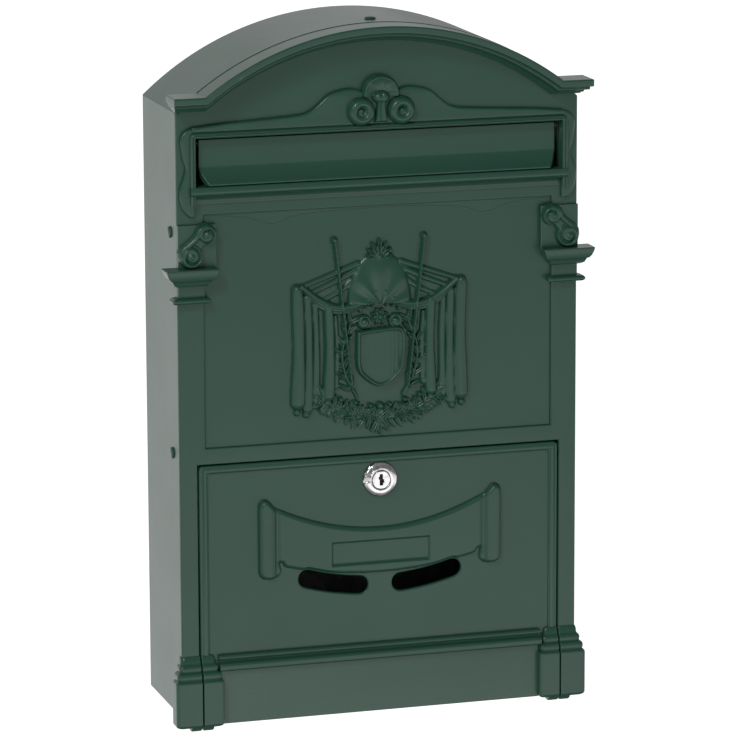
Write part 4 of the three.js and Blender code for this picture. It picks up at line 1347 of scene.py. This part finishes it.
def make_door_bead():
    """The bead that frames the field on three sides, down to the ledge."""
    half, foot, head = FIELD_HALF + 2.4, LEDGE_TOP + 0.5, FIELD_TOP + 2.1
    reach, root = 1.7, CAST_FACE + 0.6
    round_top = [(reach * cos(a), CAST_FACE - 0.9 * sin(a)) for a in np.linspace(pi, 0, 9)]
    section = [(-reach, root), *round_top, (reach, root)]
    path = [(-half, foot), (-half, head), (half, head), (half, foot)]
    casting("door_bead", [swept(path, section)], body="door", rounding=0)


def make_door_plinths():
    """The door's own halves of the plinth blocks and bases, with their hinge bosses."""
    levels = [(z, spread, 0.0, depth) for z, spread, depth in PLINTH_LEVELS]
    blocks = rounded_stack(PLINTH_INNER + 5, DOOR_HALF, CAST_BACK, levels, 2.0, 0.5)
    boss = hinge_boss(DOOR_HALF - BOSS_LENGTH)
    casting("door_plinths", [*both(blocks), *both(boss)], body="door", rounding=0, angle=28)


def make_banner():
    """The scroll-ended banner with its name recess."""
    top, foot = DOOR_TOP - 43.6, DOOR_TOP - 71.4
    patch = Patch((-78, 78), (foot - 3, foot + 53), relief_step())
    x, z = patch.x, patch.z
    right = [(at, foot + at**2 / 458) for at in np.linspace(0, 57.5, 12)]
    right += [(58.8, foot + 8.2), (60.0, foot + 10.2), (61.8, foot + 10.6), (61.2, foot + 8.4),
              (60.6, foot + 5.6), (61.6, foot + 2.9), (64.2, foot + 1.2), (67.6, foot + 0.7),
              (71.2, foot + 1.1), (73.7, foot + 3.0), (74.6, foot + 6.2), (74.6, foot + 44.5),
              (73.7, foot + 47.4), (71.5, foot + 49.0), (69.0, foot + 48.8), (66.8, foot + 46.6)]
    right += [(at, top + at**2 / 256) for at in np.linspace(64.6, 0, 14)]
    outline = [*right, *[(-a, b) for a, b in reversed(right[1:-1])]]
    shape = patch.polygon(outline)
    across = np.abs(x)
    thick = 2.7
    roll = 1.5 * np.sqrt(np.clip(1 - ((across - 69.6) / 5.2) ** 2, 0, 1))
    valley = 0.75 * np.exp(-(((across - 63.2) / 1.5) ** 2))
    swell = 1 + (roll - valley) / thick
    patch.raise_to(np.where(shape < 0, pillow(shape, thick, 2.6) * swell, 0))
    name_half, name_middle, name_reach, name_depth = 30.2, foot + 13.2, 7.2, 1.6
    recess = np.maximum(across - name_half, np.abs(z - name_middle) - name_reach)
    patch.height -= name_depth * np.clip(-recess / 0.8, 0, 1)
    slots = np.minimum(patch.polygon(viewing_slot(-1)), patch.polygon(viewing_slot(1)))
    patch.height = np.minimum(patch.height, np.maximum(0, (slots - 0.9) * 1.8))
    relief("banner", patch, FIELD_FACE, "door")


def make_hinge_pins():
    """Zinc for the two pins that the door turns on."""
    for node in ("door_hinge_pin_left", "door_hinge_pin_right"):
        coat_node(node, "zinc")


# ---- Cam lock ------------------------------------------------------------------------------------


FLANGE_STEPS = 240
MARKED_FROM, MARKED_TO = 0.5 * pi, 1.08 * pi
MARK_SHARE = 0.36


def lock_flange():
    """The domed flange, with cut marks round its upper left."""
    settings = bpy.context.scene.mailbox_lock
    bore, outer, front = FLANGE_BORE, FLANGE_RADIUS, FLANGE_FRONT
    rings = []
    for k in range(FLANGE_STEPS):
        turn = 2 * pi * k / FLANGE_STEPS
        wave = (turn * settings.ticks / (2 * pi)) % 1.0 if settings.ticks else 0.5
        marked = MARKED_FROM < turn < MARKED_TO and wave < MARK_SHARE
        cut = settings.tick_depth / MM if marked else 0
        section = [(bore, FLANGE_BACK), (bore, front + 0.25), (bore + 0.2, front + 0.1),
                   (bore + 1.0, front), (outer - 3.2, front + 0.1 + 0.2 * cut),
                   (outer - 2.6, front + 0.2 + cut), (outer - 1.6, front + 0.5 + cut),
                   (outer - 0.8, front + 1.0 + cut), (outer - 0.2, front + 1.6 + cut),
                   (outer, front + 2.5), (outer, FLANGE_BACK)]
        rings.append([(rho * cos(turn), y, LOCK_Z + rho * sin(turn)) for rho, y in section])
    return ring_loft(rings, closed=True)


def lock_barrel():
    """The threaded barrel behind the door, with a flat down each side."""
    start, crest, root, pitch = FLANGE_BACK + 0.01, BARREL_RADIUS - 0.02, BARREL_RADIUS - 0.4, 1.0
    profile = [(start, BARREL_RADIUS), (CAST_BACK + 0.2, BARREL_RADIUS)]
    y = CAST_BACK + 0.4
    while y < BARREL_END - 0.6:
        profile += [(y, crest), (y + 0.25, crest), (y + 0.5, root), (y + 0.75, root)]
        y += pitch
    profile += [(BARREL_END, BARREL_RADIUS - 0.5), (BARREL_END, FLANGE_BORE), (start, FLANGE_BORE)]
    turns = np.linspace(0, 2 * pi, 72, endpoint=False)
    return ring_loft([[(max(-BARREL_FLAT, min(BARREL_FLAT, rho * cos(t))), y, LOCK_Z + rho * sin(t))
                       for t in turns] for y, rho in profile], closed=True)


def make_lock_face():
    """The chrome flange and the barrel, which are one piece."""
    mesh = joined("lock_face", [lock_flange(), lock_barrel()])
    finish_piece("lock_face", mesh, "door", finish("chrome"), angle=35, stands_for=("lock_body",))


def make_lock_plug():
    """The plug that the key turns, with its double-bitted keyway."""
    front = FLANGE_FRONT + 0.1
    keyway = [(-0.9, -3.2), (0.9, -3.2), (0.9, -1.6), (1.7, -1.6), (1.7, 0.2), (0.9, 0.2),
              (0.9, 3.4), (-0.9, 3.4), (-0.9, 1.8), (-1.5, 1.8), (-1.5, 0.4), (-0.9, 0.4)]
    face = circle(PLUG_RADIUS, 0, LOCK_Z, 64)
    plate("lock_plug_face", [face, [(x, LOCK_Z + z) for x, z in keyway]], front, front + 2.2,
          "lock_core", finish("chrome"), 0.22, stands_for=("lock_plug",))
    shoulder = BARREL_END + 0.3
    start = front + 2.1
    core = turned([(0, PLUG_RADIUS - 0.2), (0.2, PLUG_RADIUS), (shoulder - start, PLUG_RADIUS)],
                  (0, start, LOCK_Z), (0, 1, 0), (1, 0, 0), 48)
    tang = block((-3, 3), (shoulder - 0.5, shoulder + 2.0), (LOCK_Z - 3, LOCK_Z + 3))
    # The core behind the keyway takes the near-black painted shade.
    finish_piece("lock_plug_core", joined("lock_plug_core", [core, tang]), "lock_core",
                 finish("keyway"), rounding=0.15, angle=35)


def make_lock_hardware():
    """Zinc for the washer, the nut, the cam and its screw."""
    for node in ("lock_washer", "lock_nut", "lock_cam", "cam_washer", "cam_screw"):
        coat_node(node, "zinc")


# ---- Stage ---------------------------------------------------------------------------------------


FLOOR_REACH = 14.0
GLOW_FROM, GLOW_WIDTH = 1.5, 1.1
LOOKED_AT = (2.94, -45.0, -5.01)
SENSOR = 36.0


def aim(thing, place, target, roll=0.0):
    """Sets a light or a camera at a place, turned to a target."""
    thing.location = place
    look = (Vector(target) - Vector(place)).to_track_quat("-Z", "Y").to_matrix().to_4x4()
    thing.matrix_world = Matrix.Translation(place) @ look @ Matrix.Rotation(roll, 4, "Z")


def soft_light(name, place, target, size, power):
    """A rectangular soft light, in metres and watts."""
    lamp = bpy.data.lights.new(name, "AREA")
    lamp.shape = "RECTANGLE"
    lamp.size, lamp.size_y = size
    lamp.energy = power
    light = bpy.data.objects.new(name, lamp)
    bpy.context.scene.collection.objects.link(light)
    aim(light, place, target)


def make_surround(stage):
    """An even, dim white all round."""
    world = bpy.data.worlds.new("white surround")
    world.use_nodes = True
    backdrop = world.node_tree.nodes["Background"]
    backdrop.inputs["Color"].default_value = (1.0, 1.0, 1.0, 1.0)
    backdrop.inputs["Strength"].default_value = stage.sky
    bpy.context.scene.world = world


def make_floor(stage):
    """A pale floor well under the mailbox, that glows white away from it."""
    level, reach = cad_bounds[0][2] - stage.floor_drop, FLOOR_REACH
    mesh = bpy.data.meshes.new("studio_floor")
    mesh.from_pydata([(-reach, -reach, level), (reach, -reach, level), (reach, reach, level),
                      (-reach, reach, level)], [], [(0, 1, 2, 3)])
    floor = bpy.data.objects.new("studio_floor", mesh)
    bpy.context.scene.collection.objects.link(floor)
    pale = Finish("pale floor", "")
    away = pale.add("ShaderNodeVectorMath", {"operation": "LENGTH"}, pale.place, output="Value")
    glow = ((away - GLOW_FROM) / GLOW_WIDTH).clipped()
    pale.surface(Base_Color=(*stage.floor, 1.0), Roughness=0.9,
                 Emission_Color=pale.mix(glow, (0, 0, 0), (1, 1, 1)), Emission_Strength=1.0)
    mesh.materials.append(pale.material)


def make_lights(stage):
    """A small key and kicker for the glints, and wide lights at the side, below and behind."""
    centre = (Vector(cad_bounds[0]) + Vector(cad_bounds[1])) / 2
    low_front = (0, -0.08, -0.12)
    for name, place, target, size, power in (
            ("key", (-1.25, -1.5, 1.7), centre, (0.4, 0.4), stage.key),
            ("side", (-2.4, -0.1, 0.9), centre, (1.8, 2.4), stage.side),
            ("fill", (0.2, -1.5, -0.8), low_front, (1.6, 0.8), stage.fill),
            ("kicker", (-1.5, -1.5, 0.95), centre, (0.16, 0.3), stage.kicker),
            ("back", (0.3, 2.6, 1.3), centre, (4.0, 2.0), stage.back)):
        soft_light(name, place, target, size, power)


def make_camera(stage):
    """The camera, on a line to the mailbox from the front and the left."""
    scene = bpy.context.scene
    lens = bpy.data.cameras.new("camera")
    lens.lens = stage.lens
    lens.sensor_width = SENSOR
    camera = bpy.data.objects.new("camera", lens)
    scene.collection.objects.link(camera)
    target = Vector(LOOKED_AT) * MM
    level = cos(stage.elevation)
    away = Vector((-sin(stage.azimuth) * level, -cos(stage.azimuth) * level, sin(stage.elevation)))
    aim(camera, target + away * stage.distance, target, stage.roll)
    scene.camera = camera


def make_stage():
    """The surround, the floor, the lights and the camera."""
    stage = bpy.context.scene.mailbox_stage
    bpy.context.scene.view_settings.view_transform = "Standard"
    make_surround(stage)
    make_floor(stage)
    make_lights(stage)
    make_camera(stage)


# ---- Operators and panel -------------------------------------------------------------------------


class MailboxMaker:
    """What the operators share: a place in the undo history."""

    bl_options = {"REGISTER", "UNDO"}


class MAILBOX_OT_steel_body(MailboxMaker, bpy.types.Operator):
    """Bend the steel sheet round the sides and the arch"""

    bl_idname = "mailbox.steel_body"
    bl_label = "Steel body"

    def execute(self, context):
        make_steel_body()
        return {"FINISHED"}


class MAILBOX_OT_rivets(MailboxMaker, bpy.types.Operator):
    """Set the painted rivets in the sides and the crown"""

    bl_idname = "mailbox.rivets"
    bl_label = "Rivets"

    def execute(self, context):
        make_rivets()
        return {"FINISHED"}


class MAILBOX_OT_bare_sheets(MailboxMaker, bpy.types.Operator):
    """Give the back panel and the floor their zinc"""

    bl_idname = "mailbox.bare_sheets"
    bl_label = "Back and floor"

    def execute(self, context):
        make_bare_sheets()
        return {"FINISHED"}


class MAILBOX_OT_cast_front(MailboxMaker, bpy.types.Operator):
    """Make the front plate, its border and its rear rim"""

    bl_idname = "mailbox.cast_front"
    bl_label = "Cast front"

    def execute(self, context):
        make_cast_front()
        return {"FINISHED"}


class MAILBOX_OT_cornice(MailboxMaker, bpy.types.Operator):
    """Run the moulding over the arch and its two ears"""

    bl_idname = "mailbox.cornice"
    bl_label = "Cornice"

    def execute(self, context):
        make_cornice()
        return {"FINISHED"}


class MAILBOX_OT_hood(MailboxMaker, bpy.types.Operator):
    """Make the hood over the slot"""

    bl_idname = "mailbox.hood"
    bl_label = "Hood"

    def execute(self, context):
        make_hood()
        return {"FINISHED"}


class MAILBOX_OT_hood_ornament(MailboxMaker, bpy.types.Operator):
    """Raise the scrolls, the shell niche and the keystone on the hood"""

    bl_idname = "mailbox.hood_ornament"
    bl_label = "Hood ornament"

    def execute(self, context):
        make_hood_ornament()
        return {"FINISHED"}


class MAILBOX_OT_slot_bead(MailboxMaker, bpy.types.Operator):
    """Run the grooved bead round the slot"""

    bl_idname = "mailbox.slot_bead"
    bl_label = "Slot bead"

    def execute(self, context):
        make_slot_bead()
        return {"FINISHED"}


class MAILBOX_OT_slot_sill(MailboxMaker, bpy.types.Operator):
    """Run the moulded sill under the slot"""

    bl_idname = "mailbox.slot_sill"
    bl_label = "Slot sill"

    def execute(self, context):
        make_slot_sill()
        return {"FINISHED"}


class MAILBOX_OT_slot_cheeks(MailboxMaker, bpy.types.Operator):
    """Set a scrolled cheek at each end of the slot"""

    bl_idname = "mailbox.slot_cheeks"
    bl_label = "Slot cheeks"

    def execute(self, context):
        make_slot_cheeks()
        return {"FINISHED"}


class MAILBOX_OT_valance(MailboxMaker, bpy.types.Operator):
    """Hang the scalloped edge over the main panel"""

    bl_idname = "mailbox.valance"
    bl_label = "Valance"

    def execute(self, context):
        make_valance()
        return {"FINISHED"}


class MAILBOX_OT_capitals(MailboxMaker, bpy.types.Operator):
    """Set a moulded capital on each pilaster"""

    bl_idname = "mailbox.capitals"
    bl_label = "Capitals"

    def execute(self, context):
        make_capitals()
        return {"FINISHED"}


class MAILBOX_OT_capital_scrolls(MailboxMaker, bpy.types.Operator):
    """Raise the S-scroll on each capital"""

    bl_idname = "mailbox.capital_scrolls"
    bl_label = "Capital scrolls"

    def execute(self, context):
        make_capital_scrolls()
        return {"FINISHED"}


class MAILBOX_OT_plinths(MailboxMaker, bpy.types.Operator):
    """Make the outer plinth blocks and their hinge bosses"""

    bl_idname = "mailbox.plinths"
    bl_label = "Plinths"

    def execute(self, context):
        make_plinths()
        return {"FINISHED"}


class MAILBOX_OT_crest(MailboxMaker, bpy.types.Operator):
    """Raise the draped crest on the main panel"""

    bl_idname = "mailbox.crest"
    bl_label = "Crest"

    def execute(self, context):
        make_crest()
        return {"FINISHED"}


class MAILBOX_OT_letter_flap(MailboxMaker, bpy.types.Operator):
    """Make the flap with its barrel and lip"""

    bl_idname = "mailbox.letter_flap"
    bl_label = "Letter flap"

    def execute(self, context):
        make_letter_flap()
        return {"FINISHED"}


class MAILBOX_OT_flap_hardware(MailboxMaker, bpy.types.Operator):
    """Give the flap's rod and clips their zinc"""

    bl_idname = "mailbox.flap_hardware"
    bl_label = "Flap hardware"

    def execute(self, context):
        make_flap_hardware()
        return {"FINISHED"}


class MAILBOX_OT_door(MailboxMaker, bpy.types.Operator):
    """Make the door's plate and the border of its field"""

    bl_idname = "mailbox.door"
    bl_label = "Lower door"

    def execute(self, context):
        make_door()
        return {"FINISHED"}


class MAILBOX_OT_door_ledge(MailboxMaker, bpy.types.Operator):
    """Run the ledge across the door and the rim behind it"""

    bl_idname = "mailbox.door_ledge"
    bl_label = "Door ledge"

    def execute(self, context):
        make_door_ledge()
        return {"FINISHED"}


class MAILBOX_OT_door_bead(MailboxMaker, bpy.types.Operator):
    """Run the bead round the door's field"""

    bl_idname = "mailbox.door_bead"
    bl_label = "Door bead"

    def execute(self, context):
        make_door_bead()
        return {"FINISHED"}


class MAILBOX_OT_door_plinths(MailboxMaker, bpy.types.Operator):
    """Make the door's halves of the plinth blocks"""

    bl_idname = "mailbox.door_plinths"
    bl_label = "Door plinths"

    def execute(self, context):
        make_door_plinths()
        return {"FINISHED"}


class MAILBOX_OT_hinge_pins(MailboxMaker, bpy.types.Operator):
    """Give the door's hinge pins their zinc"""

    bl_idname = "mailbox.hinge_pins"
    bl_label = "Hinge pins"

    def execute(self, context):
        make_hinge_pins()
        return {"FINISHED"}


class MAILBOX_OT_banner(MailboxMaker, bpy.types.Operator):
    """Raise the banner with its name recess on the door"""

    bl_idname = "mailbox.banner"
    bl_label = "Banner"

    def execute(self, context):
        make_banner()
        return {"FINISHED"}


class MAILBOX_OT_lock_face(MailboxMaker, bpy.types.Operator):
    """Make the lock's chrome flange and threaded barrel"""

    bl_idname = "mailbox.lock_face"
    bl_label = "Lock face"

    def execute(self, context):
        make_lock_face()
        return {"FINISHED"}


class MAILBOX_OT_lock_plug(MailboxMaker, bpy.types.Operator):
    """Make the plug with its keyway"""

    bl_idname = "mailbox.lock_plug"
    bl_label = "Lock plug"

    def execute(self, context):
        make_lock_plug()
        return {"FINISHED"}


class MAILBOX_OT_lock_hardware(MailboxMaker, bpy.types.Operator):
    """Give the nut, the cam and their washers zinc"""

    bl_idname = "mailbox.lock_hardware"
    bl_label = "Lock hardware"

    def execute(self, context):
        make_lock_hardware()
        return {"FINISHED"}


class MAILBOX_OT_stage(MailboxMaker, bpy.types.Operator):
    """Set the surround, the floor, the lights and the camera"""

    bl_idname = "mailbox.stage"
    bl_label = "Stage"

    def execute(self, context):
        make_stage()
        return {"FINISHED"}


# The order in which the pieces are made.
OPERATORS = [
    MAILBOX_OT_steel_body, MAILBOX_OT_rivets, MAILBOX_OT_bare_sheets, MAILBOX_OT_cast_front,
    MAILBOX_OT_cornice, MAILBOX_OT_hood, MAILBOX_OT_hood_ornament, MAILBOX_OT_slot_bead,
    MAILBOX_OT_slot_sill, MAILBOX_OT_slot_cheeks, MAILBOX_OT_valance, MAILBOX_OT_capitals,
    MAILBOX_OT_capital_scrolls, MAILBOX_OT_plinths, MAILBOX_OT_crest, MAILBOX_OT_letter_flap,
    MAILBOX_OT_flap_hardware, MAILBOX_OT_door, MAILBOX_OT_door_ledge, MAILBOX_OT_door_bead,
    MAILBOX_OT_door_plinths, MAILBOX_OT_hinge_pins, MAILBOX_OT_banner, MAILBOX_OT_lock_face,
    MAILBOX_OT_lock_plug, MAILBOX_OT_lock_hardware, MAILBOX_OT_stage,
]
SETTINGS = {
    "mailbox_paint": PaintSettings,
    "mailbox_casting": CastingSettings,
    "mailbox_lock": LockSettings,
    "mailbox_stage": StageSettings,
}


class MAILBOX_PT_maker(bpy.types.Panel):
    """Lists the mailbox's pieces and their settings."""

    bl_label = "Wall mailbox"
    bl_idname = "MAILBOX_PT_maker"
    bl_space_type = "VIEW_3D"
    bl_region_type = "UI"
    bl_category = "Mailbox"

    def draw(self, context):
        for attribute, settings in SETTINGS.items():
            box = self.layout.box()
            box.label(text=attribute.replace("mailbox_", "").capitalize())
            for setting in settings.__annotations__:
                box.prop(getattr(context.scene, attribute), setting)
        for kind in OPERATORS:
            self.layout.operator(kind.bl_idname)


CLASSES = [*SETTINGS.values(), *OPERATORS, MAILBOX_PT_maker]


def register():
    for kind in CLASSES:
        bpy.utils.register_class(kind)
    for attribute, settings in SETTINGS.items():
        setattr(bpy.types.Scene, attribute, bpy.props.PointerProperty(type=settings))


def unregister():
    for attribute in SETTINGS:
        delattr(bpy.types.Scene, attribute)
    for kind in reversed(CLASSES):
        bpy.utils.unregister_class(kind)


def main():
    register()
    for kind in OPERATORS:
        getattr(bpy.ops.mailbox, kind.bl_idname.split(".")[1])()


if __name__ == "__main__":
    main()
